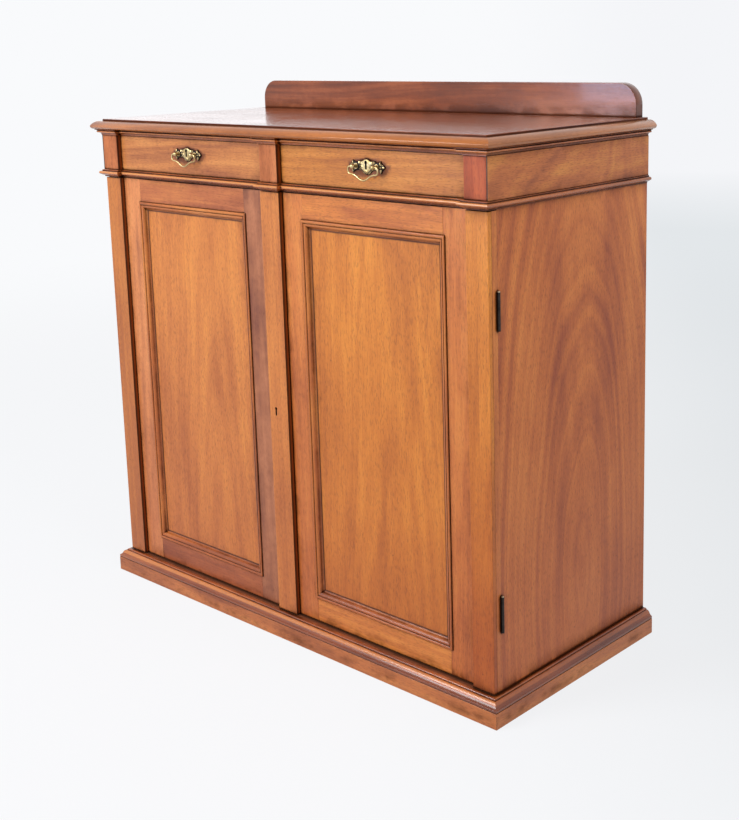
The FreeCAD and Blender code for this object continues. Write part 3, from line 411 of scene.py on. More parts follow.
def rings(tree, grain, knot, finish, pith, lean):
    wander = drawn_out(tree, grain, 110.0, 5.0, 1.0).outputs["Color"]
    wander = add(tree, "VectorMath SUBTRACT", [wander, (0.5, 0.5, 0.5)])
    wander = add(tree, "VectorMath MULTIPLY", [wander, (0.0, WANDER, WANDER)])
    along, *sides = add(tree, "SeparateXYZ", [grain[0]]).outputs
    far = [0.0]
    for side, heart, slope in zip(sides, pith, lean):
        leaning = add(tree, "Math MULTIPLY_ADD", [along, -slope, -heart])
        far.append(add(tree, "Math ADD", [side, leaning]))
    across = add(tree, "VectorMath ADD", [add(tree, "CombineXYZ", far), wander])
    radius = add(tree, "VectorMath LENGTH", [across])
    near_knot = add(tree, "MapRange SMOOTHSTEP", [knot, 0.22, 0.02])
    pushed = add(tree, "Math MULTIPLY_ADD", [near_knot, KNOT_PUSH * finish["knot_share"], radius])
    season = add(tree, "Math MULTIPLY", [pushed, 1 / finish["ring"]])
    ring = add(tree, "TexNoise", {"W": season, "Scale": 1.0, "Detail": 2.0, "Roughness": 0.55},
               noise_dimensions="1D")
    return add(tree, "MapRange", [ring, 0.3, 0.7])


print("rings wander by up to", WANDER / 2, "mm")

# %% [markdown]
# Over the rings lie four more layers. Each is a noise with its own stretch: a long one for
# fibres, a shorter one for streaks, and hardly any for the mottle that figured wood shows across
# its grain. They are added up into one number, the tone, and a ramp of three timber colours turns
# that into wood. Pores are short dark dashes over it, and a few dark specks are old knocks.

# %% The colour of the wood
LAYERS = {"fibre": (34.0, 2.5, 0.6, 0.28), "streak": (7.0, 2.0, 0.5, 0.3),
          "cloud": (2.0, 2.0, 0.5, 0.3), "mottle": (0.8, 2.0, 0.5, 0.3)}
# Each layer has its stretch, detail, roughness and lowest value.
PORE_WIDTH, PORE_STRETCH = 1.5, 6.0           # coarser than real pores, so that they show
SPECK_PITCH = 60.0
LOW_SHADE_TINT = "#CA9C7B"                          # painted shade: darker and redder towards the floor


def centred(tree, value, share):
    """A pattern from 0 to 1, moved round zero and scaled to its share of the tone."""
    return add(tree, "Math MULTIPLY_ADD", [value, share, -share / 2])


def timber_tones(tree, tone, light, dark, middle=None):
    """Turns the tone of a board into its timber colours."""
    wood = add(tree, "ValToRGB", [tone])
    ramp = wood.color_ramp.elements
    ramp[0].position, ramp[0].color = 0.12, colour(light)
    ramp[1].position, ramp[1].color = 0.95, colour(dark)
    if middle:
        ramp.new(0.48).color = colour(middle)
    return wood


def add_up(tree, grain, ring, chance, finish):
    """The tone of the board, and its layers as they were drawn and spread from 0 to 1."""
    tone = add(tree, "Math ADD", [0.5, centred(tree, ring, finish["ring_share"])])
    drawn, spread = {}, {}
    for layer, (stretch, detail, rough, low) in LAYERS.items():
        drawn[layer] = drawn_out(tree, grain, finish[layer], stretch, detail, rough)
        spread[layer] = add(tree, "MapRange", [drawn[layer], low, 1 - low])
        tone = add(tree, "Math ADD", [tone, centred(tree, spread[layer], finish[layer + "_share"])])
    if chance:
        tone = add(tree, "Math ADD", [tone, centred(tree, chance, finish["board_share"])])
    return tone, drawn["cloud"], spread["fibre"]


def mark_wood(tree, grain, wood, knot, cloud, finish):
    """Paints shade that darkens the wood towards the floor, and draws pores, knots and specks."""
    # Painted shade: darker and redder towards the floor.
    if finish["low_shade_share"]:
        low = add(tree, "MapRange", [position(tree)[2], 0.72, 0.12, 0.0, finish["low_shade_share"]])
        wood = add(tree, "Mix RGBA", [low, wood, colour(LOW_SHADE_TINT)], blend_type="MULTIPLY")
    pores = drawn_out(tree, grain, PORE_WIDTH, PORE_STRETCH, 1.0)
    pores = add(tree, "MapRange", [pores, 0.54, 0.68])
    pores = add(tree, "Math MULTIPLY", [pores, add(tree, "MapRange", [cloud, 0.0, 1.0, 0.35, 1.0])])
    stained = add(tree, "Math MULTIPLY", [pores, finish["pore_share"]])
    wood = add(tree, "Mix RGBA", [stained, wood, colour(finish["pore"])])
    if finish["knot_share"]:
        dark = 0.8 * finish["knot_share"]
        heart = add(tree, "MapRange SMOOTHSTEP", [knot, 0.085, 0.05, 0.0, dark])
        wood = add(tree, "Mix RGBA", [heart, wood, colour("#4A2814")])
    specks = add(tree, "TexVoronoi", {"Vector": grain[0], "Scale": 1 / SPECK_PITCH})
    specks = add(tree, "MapRange", [specks, 0.032, 0.016, 0.0, 0.55])
    return add(tree, "Mix RGBA", [specks, wood, colour("#3A1D10")]), pores


print(len(LAYERS) + 1, "layers make the tone")

# %% [markdown]
# Wear comes next. A bevel node rounds the normal near an edge, and where it differs from the flat
# one, hands have rubbed the polish pale. Wax and painted shade make a dark line in each quirk
# and a smudge in each corner, both broken up by a noise. They fade out by the floor, which isn't
# a corner of the piece.

# %% Rubbed edges, and old wax with painted shade
ARRIS, QUIRK_REACH, CORNER_REACH = 0.9, 7.0, 30.0      # how far round a point to look, in mm


def wear(tree, grain, wood, clean, cloud, finish):
    """Rubs the outer edges and paints wax and shade in the corners: wood, that mask and the
    rounded normal.
    """
    flat = add(tree, "NewGeometry").outputs["Normal"]
    rounded = add(tree, "Bevel", {"Radius": ARRIS * MM}, samples=4)
    edge = add(tree, "MapRange", [add(tree, "VectorMath DOT_PRODUCT", [rounded, flat]), 0.995, 0.9])
    quirk = add(tree, "AmbientOcclusion", {"Distance": QUIRK_REACH * MM}, samples=8).outputs["AO"]
    corner = add(tree, "AmbientOcclusion", {"Distance": CORNER_REACH * MM}, samples=8).outputs["AO"]
    rubbed = add(tree, "Math MULTIPLY", [edge, add(tree, "MapRange", [quirk, 0.82, 0.96])])
    for share in (cloud, finish["edge_share"]):
        rubbed = add(tree, "Math MULTIPLY", [rubbed, share])
    wood = add(tree, "Mix RGBA", [rubbed, wood, colour(finish["tones"][0])])

    smear = drawn_out(tree, grain, 40.0, 1.5, 3.0, 0.6)
    # A dark line in each quirk: wax, and painted shade where the quirk lies in shade.
    line = add(tree, "Math MULTIPLY_ADD", [smear, 0.2, quirk])
    line = add(tree, "MapRange SMOOTHSTEP", [line, 1.03, 0.84])
    # A smudge in each corner: smeared wax, and the painted shade that falls there.
    corner_smudge_shade = add(tree, "MapRange", [corner, 0.97, 0.68, 0.0, finish["smudge_and_shade"]])
    patch = add(tree, "MapRange SMOOTHSTEP", [smear, 0.54 + finish["smudge_spread"], 0.34 + finish["smudge_spread"]])
    wax_and_shade = add(tree, "Math MAXIMUM", [line, add(tree, "Math MULTIPLY", [corner_smudge_shade, patch])])
    for share in (add(tree, "MapRange", [position(tree)[2], 1 * MM, 12 * MM]), clean):
        wax_and_shade = add(tree, "Math MULTIPLY", [wax_and_shade, share])
    wax_and_shade_amount = add(tree, "Math MULTIPLY", [wax_and_shade, finish["wax_and_shade_share"]])
    return add(tree, "Mix RGBA", [wax_and_shade_amount, wood, colour(finish["wax_and_shade"])]), wax_and_shade, rounded


print("wax is looked for within", QUIRK_REACH, "and", CORNER_REACH, "mm")

# %% [markdown]
# Last comes the polish. Shellac has an index of refraction of about 1.5, like glass, and lies in
# a film that is never quite even. Pores, and wax with its painted shade, are rougher than the
# film, and wax and painted shade hardly shine.
# Fibres, pores and a few dents give the film its relief. `timber` puts the steps together, and
# `zone` may stain a part of the piece before it is worn.

# %% The polish, and the whole material
SHELLAC_IOR, COAT_IOR = 1.5, 1.53
DENT_PITCH, DENT_DEPTH = 90.0, 5.0
RIPPLE_HEIGHT = 0.12                  # of the film, in millimetres


def polished(tree, grain, wood, wax_and_shade, rounded, pores, cloud, fibre, finish):
    rough = finish["rough"] - 0.08
    for what, share in ((cloud, 0.16), (pores, 0.12), (wax_and_shade, 0.22)):
        rough = add(tree, "Math MULTIPLY_ADD", [what, share, rough])
    dull = add(tree, "Math MULTIPLY_ADD", [wax_and_shade, -0.85, 1.0])
    dent = add(tree, "TexVoronoi", {"Vector": grain[0], "Scale": 1 / DENT_PITCH})
    dent = add(tree, "MapRange SMOOTHSTEP", [dent, 0.06, 0.0, 0.0, -DENT_DEPTH])
    relief = add(tree, "Math ADD", [add(tree, "Math MULTIPLY_ADD", [pores, -1.0, fibre]), dent])
    film = add(tree, "Bump", {"Strength": 1.0, "Distance": RIPPLE_HEIGHT * MM, "Normal": rounded,
                              "Height": drawn_out(tree, grain, 26.0, 2.0, 1.0)})
    surface = add(tree, "Bump", {"Strength": 1.0, "Distance": finish["bump"] * MM, "Height": relief,
                                 "Normal": film})
    return add(tree, "BsdfPrincipled", {
        "Base Color": wood, "Roughness": rough, "Normal": surface, "IOR": SHELLAC_IOR,
        "Specular IOR Level": add(tree, "Math MULTIPLY", [dull, finish["shine"]]),
        "Coat Weight": add(tree, "Math MULTIPLY", [dull, finish["coat"]]),
        "Coat Roughness": finish["coat_rough"], "Coat IOR": COAT_IOR, "Coat Normal": film})


def timber(name, finish, order, centre, seed, pith=(25.0, 90.0), lean=(0.0, 0.03), turned=None,
           mitre=None, boards=None, zone=None):
    """The solid wood of one piece, and the wear and polish on it."""
    material, tree = new_material(name)
    place, chance = grain_place(tree, centre, order, turned, mitre, boards, seed)
    grain = place, [float(v) for v in np.random.default_rng(seed).uniform(-900, 900, 3)]
    knot = knots(tree, grain)
    ring = rings(tree, grain, knot, finish, pith, lean)
    tone, cloud, fibre = add_up(tree, grain, ring, chance, finish)
    light, middle, dark = finish["tones"]
    wood, clean = timber_tones(tree, tone, light, dark, middle).outputs["Color"], 1.0
    if zone:
        wood, clean = zone(tree, wood, tone)
    wood, pores = mark_wood(tree, grain, wood, knot, cloud, finish)
    wood, wax_and_shade, rounded = wear(tree, grain, wood, clean, cloud, finish)
    surface = polished(tree, grain, wood, wax_and_shade, rounded, pores, cloud, fibre, finish)
    add(tree, "OutputMaterial", [surface])
    return material


print("timber is ready")

# %% [markdown]
# ## Giving each board its timber
#
# A joiner picks boards for their place: quiet straight stuff for the stiles, the best figure for
# the panels, and a wide board with tall arches for the side. `board` gives a piece its finish,
# the way its grain runs and its part of the tree, which hangs on its name, so that no two boards
# look alike and each looks the same every time.

# %% Dress a piece
def measure(node):
    """The middle of a piece in metres, and its half sizes in millimetres."""
    low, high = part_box(node)
    return (low + high) / 2, (high - low) / 2 / MM


def plan_mitre(node, width=None):
    """Where a moulding turns the front corners: the line through the corners of its box.

    With a width, only an edge of that many millimetres turns, and the flat between runs on."""
    half = measure(node)[1]
    return "x", "y", half.y, half.x - 2 * half.y, half.x - width if width else 0.0


def frame_mitre(node):
    """Where a frame round a panel turns its four corners."""
    half = measure(node)[1]
    return "x", "z", 0.0, half.x - half.z, 0.0


def dress(node, material):
    """Puts one material on every face of a piece."""
    for held in nodes[node].material_slots:
        held.link = "OBJECT"
        held.material = material


def board(node, finish, order, **options):
    seed = sum(ord(letter) * (i + 3) for i, letter in enumerate(node)) % 9973
    name, centre = f"{finish['kind']}_{node}", measure(node)[0]
    dress(node, timber(name, finish, order, centre, seed, **options))


for node, order in (("shelf", "xyz"), ("drawer_deck", "xyz"), ("top_rail", "xyz"),
                    ("drawer_partition", "yzx"), ("drawer_stops", "xzy")):
    board(node, PINE, order)
board("drawer_guides", PINE, "yxz", boards=("x", 0.0, 60.0))
board("base_frame", BACK_PINE, "xzy", turned="yzx", mitre=plan_mitre("base_frame"))
board("plinth_boards", PLINTH, "xzy", turned="yzx", mitre=plan_mitre("plinth_boards"))
for node, sign in (("side_left", -1), ("side_right", 1)):
    board(node, SIDE, "zyx", pith=(20.0, -72.0 * sign), lean=(0.02, -0.25 * sign))
print(len(bpy.data.materials), "materials so far")

# %% [markdown]
# Stain and wear aren't even over one board, and neither is the painted light and shade. The
# functions below each colour one zone of a piece, found from its place or from the way its faces
# look. Each takes the wood and gives it back coloured, with a number that is less than one where
# no wax and painted shade are to lie over it. First come the plain ones: end grain takes in more
# stain, ledges were stained to match the front, and dust gathers where boards meet.

# %% Ends, ledges and joints
def facing(tree, axis, least=0.7):
    """One where a face looks along an axis, either way."""
    along = add(tree, "Math ABSOLUTE", [outward(tree)[AXES.index(axis)]])
    return add(tree, "Math GREATER_THAN", [along, least])


def rail_ends(tree, wood, tone):
    """The ends of the rail at the back are end grain."""
    share = add(tree, "Math MULTIPLY", [facing(tree, "x", 0.35), 0.5])
    return add(tree, "Mix RGBA", [share, wood, colour("#3A1A10")]), 1.0


def dark_front_end(tree, wood, tone):
    """The facing on each side of the frieze ends in a dark line behind the corner block."""
    share = add(tree, "Math MULTIPLY", [facing(tree, "y"), 0.85])
    return add(tree, "Mix RGBA", [share, wood, colour("#2E160D")]), 1.0


def stained_ledge(tree, wood, tone):
    """The bottom board is stained dark where it shows in front of and under the doors."""
    ledge = add(tree, "MapRange", [position(tree)[1], -0.188, -0.192])
    return add(tree, "Mix RGBA", [ledge, wood, colour("#6E3A1E")]), 1.0


BACK_WIDTH = 2 * measure("back_boards")[1].x
BACK_PITCH = BACK_WIDTH / 5


def board_joints(tree, wood, tone):
    """The boards of the back meet in a dark line of dust."""
    across = add(tree, "Math MULTIPLY_ADD", [position(tree)[0], 1 / MM, BACK_PITCH / 2])
    off = add(tree, "Math PINGPONG", [across, BACK_PITCH / 2])
    joint = add(tree, "MapRange", [off, 1.6, 0.6, 0.0, 0.85])
    return add(tree, "Mix RGBA", [joint, wood, colour("#2A1A10")]), 1.0


board("gallery", GALLERY, "xzy", pith=(-40.0, 60.0), lean=(0.05, 0.02), zone=rail_ends)
board("frieze_sides", GOLDEN_SIDE, "yzx", boards=("x", 0.0, 600.0), lean=(0.05, 0.12),
      zone=dark_front_end)
board("bottom_board", PINE, "xyz", zone=stained_ledge)
board("back_boards", BACK_PINE, "zxy", boards=("x", -BACK_WIDTH / 2, BACK_PITCH), lean=(0.01, 0.04),
      zone=board_joints)
print("back boards of", round(BACK_PITCH, 1), "mm")

# %% [markdown]
# The pilasters and blocks stand proud of the front. Their narrow returns are in shade: they
# are painted nearly black by the arris, as shade over old polish, and painted red further in,
# as a glow of light reflected from the wood beside them. The blocks came from another log: the
# one on the right is red, and the others lie between red and gold.

# %% Pilasters and blocks
RED_ENDS = 0.25          # blocks further out than this from the middle are the end ones, in metres


def returns_shade_and_glow(front, back):
    """Painted shade and a painted red glow on the narrow sides of a raised piece,
    between two depths in metres.
    """
    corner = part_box("side_right")[1].x - 12 * MM

    def shade(tree, wood, tone):
        x, y, _ = position(tree)
        shade_to, glow_from = (front + share * (back - front) for share in (0.4, 0.75))
        # Painted shade, nearly black by the arris, turning into a painted red glow of reflected
        # light.
        inner = add(tree, "MapRange", [y, shade_to, glow_from])
        shade_and_glow = add(tree, "Mix RGBA", [inner, colour("#36140A"), colour("#A5480C")])
        between = add(tree, "Math LESS_THAN", [add(tree, "Math ABSOLUTE", [x]), corner])
        share = add(tree, "Math MULTIPLY", [facing(tree, "x"), between])
        share = add(tree, "Math MULTIPLY", [share, 0.92])
        clean = add(tree, "Math MULTIPLY_ADD", [share, -1.0, 1.0])
        return add(tree, "Mix RGBA", [share, wood, shade_and_glow]), clean

    return shade


def left_in_shade(tree, wood, tone):
    """The pilaster at the left end is the darker of the two."""
    left = add(tree, "Math LESS_THAN", [position(tree)[0], -0.3])
    wood = add(tree, "Mix RGBA", [left, wood, colour("#E9E2D4")], blend_type="MULTIPLY")
    front, back = (corner.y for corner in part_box("right_door_pilasters"))
    return returns_shade_and_glow(front, back)(tree, wood, tone)


def block_tones(tree, wood, tone):
    """The right block stays red, and the other two are between red and gold."""
    across = position(tree)[0]
    left = add(tree, "Math LESS_THAN", [across, -RED_ENDS])
    share = add(tree, "Math MULTIPLY_ADD", [left, -0.05, 0.6])
    share = add(tree, "Math MULTIPLY", [share, add(tree, "Math LESS_THAN", [across, RED_ENDS])])
    wood = add(tree, "Mix RGBA", [share, wood, timber_tones(tree, tone, "#DC9460", "#98552B")])
    front, back = (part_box(node)[0].y for node in ("frieze_blocks", "left_drawer_front"))
    return returns_shade_and_glow(front, back)(tree, wood, tone)


board("frieze_blocks", RED, "zxy", boards=("x", -230.0, 300.0), zone=block_tones)
for door, finish in (("left_door", PANEL), ("right_door", SMUDGED_SHADED_GOLD)):
    board(f"{door}_pilasters", finish, "zxy", boards=("x", 0.0, 2000.0), pith=(70.0, 60.0),
          zone=left_in_shade)
print(len(bpy.data.materials), "materials so far")

# %% [markdown]
# A moulding has a painted highlight on its nose, the rounded part that stands out furthest: it is
# painted pale where it faces the front and the light, and what lies below the nose is painted
# darker, as shade.

# %% Mouldings with a painted highlight on the nose
def nose_highlight_and_shade(node, low, high, tint, under):
    """Paints a highlight on the front of a moulding between two heights in millimetres, and
    shade on what is below them.
    """
    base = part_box(node)[0].z

    def shade(tree, wood, tone):
        height = add(tree, "Math MULTIPLY_ADD", [position(tree)[2], 1 / MM, -base / MM])
        rise = add(tree, "MapRange", [height, low - 1.0, low + 0.6])
        fall = add(tree, "MapRange", [height, high + 0.6, high - 0.6])
        front = add(tree, "MapRange", [outward(tree)[1], -0.15, -0.5, 0.15, 0.9])
        share = add(tree, "Math MULTIPLY", [rise, fall])
        share = add(tree, "Math MULTIPLY", [share, front])
        # Painted shade below the nose; the share above is a painted highlight on its front.
        shade_below = add(tree, "Mix RGBA", [rise, colour(under), colour("#FFFFFF")])
        wood = add(tree, "Mix RGBA", [1.0, wood, shade_below], blend_type="MULTIPLY")
        return add(tree, "Mix RGBA", [share, wood, colour(tint)]), 1.0

    return shade


# Heights of the painted highlight, its colour, and the colour of the painted shade below it.
for node, *nose in (("plinth_moulding", 9.8, 15.2, "#D08342", "#D2C6C0"),
                    ("mid_moulding", 7.6, 11.6, "#D38846", "#EDE6E2"),
                    ("bed_moulding", 5.6, 9.8, "#CF7A36", "#FFFFFF")):
    board(node, MOULDING, "xzy", turned="yzx", mitre=plan_mitre(node), zone=nose_highlight_and_shade(node, *nose))
print(len(bpy.data.materials), "materials so far")

# %% [markdown]
# The doors are frames of stiles and rails with a panel in the middle and a mitred moulding round
# it. Where the panel goes under its moulding, a dark line is painted: wax that no brush reaches,
# and the shade that falls there. The left door is browner, and its meeting stile is a figured
# board. The drawer fronts have dark stains round their handles, from a century of brass polish,
# and a painted shadow of each handle to its lower right.

# %% Doors and drawers
PANEL_MOULD_WIDTH = 18.0       # the moulding round each panel, in millimetres
DOORS = {"left_door": (LEFT_STILE, FIGURED, LEFT_RAIL, PANEL),
         "right_door": (STILE, STILE, RAIL, GOLD)}


def wax_and_shade_line(door):
    """A dark line of wax and painted shade round the panel, where it goes under its moulding."""
    middle, half = measure(f"{door}_panel_moulding")
    half -= Vector((1, 1, 1)) * PANEL_MOULD_WIDTH

    def shade(tree, wood, tone):
        parts = add(tree, "SeparateXYZ", [seen_from(tree, middle)]).outputs
        away = [add(tree, "Math ABSOLUTE", [parts[i]]) for i in (0, 2)]
        gaps = [add(tree, "Math MULTIPLY_ADD", [far, -1 / MM, reach])
                for far, reach in zip(away, (half.x, half.z))]
        off = add(tree, "Math ABSOLUTE", [add(tree, "Math MINIMUM", gaps)])
        share = add(tree, "MapRange", [off, 2.4, 0.7, 0.0, 0.75])
        return add(tree, "Mix RGBA", [share, wood, colour("#3E1606")]), 1.0

    return shade


def stain_and_shadow_round(drawer):
    """A ragged stain a little larger than the handle's plate, moved to the lower right as a
    painted shadow.
    """
    middle, half = measure(f"{drawer}_handle_plate")
    # Moved to the lower right: a painted shadow of the handle, cast by the window at the upper
    # left.
    middle += Vector((2.0, 0.0, -2.0)) * MM
    stretch = (0.94 / (half.x * MM), 0.0, 0.9 / (half.z * MM))

    def shade(tree, wood, tone):
        local = seen_from(tree, middle)
        reach = add(tree, "VectorMath LENGTH", [add(tree, "VectorMath MULTIPLY", [local, stretch])])
        ragged = add(tree, "TexNoise", {"Vector": local, "Scale": 1 / (7.0 * MM), "Detail": 3.0})
        reach = add(tree, "Math MULTIPLY_ADD", [ragged, 0.5, reach])
        share = add(tree, "MapRange SMOOTHSTEP", [reach, 1.5, 1.2, 0.0, 0.75])
        return add(tree, "Mix RGBA", [share, wood, colour("#5C2410")]), 1.0

    return shade


for door, (hinge_stile, meeting_stile, rails_finish, panel) in DOORS.items():
    board(f"{door}_hinge_stile", hinge_stile, "zxy", pith=(60.0, 50.0))
    board(f"{door}_meeting_stile", meeting_stile, "zxy", pith=(-50.0, 45.0))
    board(f"{door}_rails", rails_finish, "xzy", boards=("z", 0.0, 900.0), pith=(30.0, 60.0))
    board(f"{door}_panel", panel, "zxy", pith=(40.0, 120.0), lean=(0.02, 0.05),
          zone=wax_and_shade_line(door))
    board(f"{door}_panel_moulding", PANEL_MOULDING, "xzy", turned="zxy",
          mitre=frame_mitre(f"{door}_panel_moulding"), zone=wax_and_shade_line(door))
for drawer, finish in (("left_drawer", DRAWER), ("right_drawer", RIGHT_DRAWER)):
    board(f"{drawer}_front", finish, "xzy", pith=(-60.0, 50.0), lean=(0.06, 0.01),
          zone=stain_and_shadow_round(drawer))
    for part in ("side_left", "side_right"):
        board(f"{drawer}_{part}", PINE, "yzx")
    board(f"{drawer}_back", PINE, "xzy")
    board(f"{drawer}_bottom", PINE, "yxz", pith=(0.0, 60.0))
print(len(bpy.data.materials), "materials so far")

# %% [markdown]
# The top is a dark, flat board with a lighter moulding glued round three of its sides. Both are
# in one solid, so the moulding is told apart by its place: it lies outside a line a little in
# from the edge. The sun and a century of cloths have turned the flat red-brown.

# %% The top and its moulding
TOP_EDGE, TOP_STEP = 20.0, 3.8      # how wide the moulding is, and how far below the flat it lies


def edge_moulding(tree, wood, tone):
    """The moulding round the top: lighter than the flat, and palest along the sides."""
    low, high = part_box("top_board")
    x, y, z = position(tree)
    out = add(tree, "Math ABSOLUTE", [x])
    side_edge = add(tree, "Math GREATER_THAN", [out, high.x - TOP_EDGE * MM])
    front_edge = add(tree, "Math LESS_THAN", [y, low.y + TOP_EDGE * MM])
    under = add(tree, "Math LESS_THAN", [z, high.z - TOP_STEP * MM])
    beyond = add(tree, "Math SUBTRACT", [out, high.x])
    before = add(tree, "Math SUBTRACT", [low.y, y])
    past_mitre = add(tree, "Math GREATER_THAN", [beyond, before])
    edge = add(tree, "Math MULTIPLY", [add(tree, "Math MAXIMUM", [side_edge, front_edge]), under])
    wood = add(tree, "Mix RGBA", [edge, wood, timber_tones(tree, tone, "#B86B2A", "#713414")])
    paler = add(tree, "Math MULTIPLY", [side_edge, 0.4])
    for share in (under, past_mitre):
        paler = add(tree, "Math MULTIPLY", [paler, share])
    return add(tree, "Mix RGBA", [paler, wood, colour("#D08E60")]), 1.0


board("top_board", TOP, "xyz", pith=(-80.0, 55.0), lean=(0.03, 0.02), turned="yxz",
      mitre=plan_mitre("top_board", TOP_EDGE), zone=edge_moulding)
print("the top's moulding is", TOP_EDGE, "mm wide")

# %% [markdown]
# ## Metal
#
# The handles are cast brass, lacquered and then left to darken: yellow where hands touch, brown
# to black in every hollow. The hinges, locks and bolts are iron, nearly black, with a little
# rust, and the hinge pins are brighter where they turn. Metals keep the default IOR, because
# their colour is in their reflection.

# %% Brass and iron
METALS = {    # bright, dull and hollow colours, roughness, then millimetres of pits and of hollows
    "cast_brass": ("#D2BC8C", "#A38A5A", "#17100A", 0.27, 0.8, 3.2),
    "old_iron": ("#3E3936", "#2C2826", "#110D0B", 0.44, 0.9, 2.0),
    "worn_pin": ("#B7A78C", "#6E6250", "#14100D", 0.36, 0.9, 3.0),
}
BLOTCH = 9.0                       # tarnish comes in blotches of about this many millimetres


def metal(name):
    """Old metal: blotchy, pitted, and dark and dull in its hollows."""
    bright, dull, hollow, rough, pit, hollow_reach = METALS[name]
    material, tree = new_material(name)
    place = add(tree, "TexCoord").outputs["Object"]
    blotch, pits = (
        add(tree, "TexNoise",
            {"Vector": place, "Scale": 1 / (size * MM), "Detail": detail, "Roughness": 0.6})
        for size, detail in ((BLOTCH, 4.0), (pit, 3.0)))
    spread = add(tree, "MapRange", [blotch, 0.38, 0.66])
    body = add(tree, "Mix RGBA", [spread, colour(bright), colour(dull)])
    sky = add(tree, "AmbientOcclusion", {"Distance": hollow_reach * MM}, samples=8).outputs["AO"]
    open_sky = add(tree, "Math ADD", [sky, centred(tree, blotch, 0.4)])
    recess = add(tree, "Attribute", attribute_name="recess").outputs["Fac"]
    open_sky = add(tree, "Math SUBTRACT", [open_sky, recess])
    hidden = add(tree, "MapRange SMOOTHSTEP", [open_sky, 0.9, 0.45])
    dullness = add(tree, "Math MULTIPLY_ADD", [spread, 0.14, rough])
    rounded = add(tree, "Bevel", {"Radius": 0.35 * MM}, samples=4)
    skin = add(tree, "Bump", {"Strength": 1.0, "Distance": 0.04 * MM, "Height": pits,
                              "Normal": rounded})
    surface = add(tree, "BsdfPrincipled", {
        "Base Color": add(tree, "Mix RGBA", [hidden, body, colour(hollow)]),
        "Metallic": add(tree, "Math MULTIPLY_ADD", [hidden, -0.75, 1.0]),
        "Roughness": add(tree, "Math MULTIPLY_ADD", [hidden, 0.3, dullness]), "Normal": skin})
    add(tree, "OutputMaterial", [surface])
    return material


brass, iron, pin_metal = (metal(name) for name in METALS)
for node in nodes:
    if "hinge_pins" in node:
        dress(node, pin_metal)
    elif any(word in node for word in ("hinge_leaves", "lock_", "bolt")):
        dress(node, iron)
    elif "handle" in node or node.endswith("bail"):
        dress(node, brass)
undressed = [n for n, o in nodes.items() if any(s.link != "OBJECT" for s in o.material_slots)]
print("pieces without a finish:", undressed)

# %% [markdown]
# ## The drawer handles
#
# Each handle is cast brass in two parts: a pierced back plate with raised ornament, and a thin
# bail that hangs from two posts and lifts to pull the drawer. The joinery has the plate as a flat
# fretted sheet. The casting has relief, so we make the plate again on the same outline. The
# outline is a chain of arcs; it is filled with a fine net of triangles, and each point of the net
# is pushed forward by a height that is worked out from its distance to the features of the
# ornament: the rim, the shield round the keyhole, the dishes round the posts and the leaves. The
# same features say where the casting is hollow, and that number is kept with each point, so that
# the brass is dark there.

# %% Outline of the back plate
POST_OUT = 25.5          # posts from the middle, in millimetres
PLATE_HALF = [(0.0, 12.8),
              ((3.8, 12.3), (7.2, 10.6)), ((10.0, 9.1), (13.4, 8.8)), ((18.0, 9.4), (21.6, 7.6)),
              ((24.0, 6.0), (26.6, 6.8)), ((29.6, 7.2), (34.4, 10.6)), ((34.8, 7.0), (38.2, 4.4)),
              ((42.2, 1.8), (45.2, -1.2)), ((41.0, -2.4), (38.4, -5.4)),
              ((35.8, -8.2), (34.6, -12.2)), ((31.4, -8.8), (28.0, -6.8)),
              ((23.0, -6.6), (18.8, -6.0)), ((13.6, -7.2), (9.4, -11.0)),
              ((5.0, -13.8), (0.0, -14.4))]
KEY_ROUND = (0.0, 7.1, 2.9)     # out, up and radius, in millimetres
KEY_SLOT = (1.9, -5.0)          # half width, and how low it reaches


def arc_points(start, middle, end, count=3):
    """Points along the circle through three points, without the first."""
    a, b, c = (complex(*point) for point in (start, middle, end))
    w = (c - a) / (b - a)
    centre = a + (b - a) * (w - abs(w) ** 2) / (2j * w.imag)
    first = np.angle((b - centre) / (a - centre))
    second = np.angle((c - centre) / (b - centre))
    turns = [first * i / count for i in range(1, count + 1)]
    turns += [first + second * i / count for i in range(1, count + 1)]
    return [centre + (a - centre) * np.exp(1j * turn) for turn in turns]


def plate_outline():
    half = [complex(*PLATE_HALF[0])]
    for middle, end in PLATE_HALF[1:]:
        half += arc_points((half[-1].real, half[-1].imag), middle, end)
    mirrored = [complex(-p.real, p.imag) for p in half[-2:0:-1]]
    return np.array(half + mirrored)


def keyhole_outline():
    out, up, radius = KEY_ROUND
    slot, low = KEY_SLOT
    spread = math.asin(slot / radius)
    angles = np.linspace(-math.pi / 2 + spread, 3 * math.pi / 2 - spread, 17)
    ring = complex(out, up) + radius * np.exp(1j * angles)
    foot = complex(out, low + slot) + slot * np.exp(1j * np.linspace(math.pi, 2 * math.pi, 9))
    return np.concatenate([ring, foot])


outline, hole = plate_outline(), keyhole_outline()
print(len(outline), "points round the plate and", len(hole), "round its keyhole")

# %% [markdown]
# Distances drive the relief, so we need two of them: to the nearest point of a closed outline and
# to a short line. A test of which side of an outline a point lies on keeps the net inside the
# plate and out of the keyhole.

# %% Distances in the plane of the plate
def to_segment(points, a, b):
    share = np.clip(((points - a) * np.conj(b - a)).real / abs(b - a) ** 2, 0.0, 1.0)
    return abs(points - a - share * (b - a))


def to_outline(points, loop):
    return np.min([to_segment(points, a, b) for a, b in zip(loop, np.roll(loop, -1))], axis=0)


def inside(points, loop):
    winding = np.zeros(len(points))
    for a, b in zip(loop, np.roll(loop, -1)):
        winding += np.angle((b - points) / (a - points))
    return abs(winding) > math.pi


def ridge(distance, width):
    return np.exp(-(distance / width) ** 2)


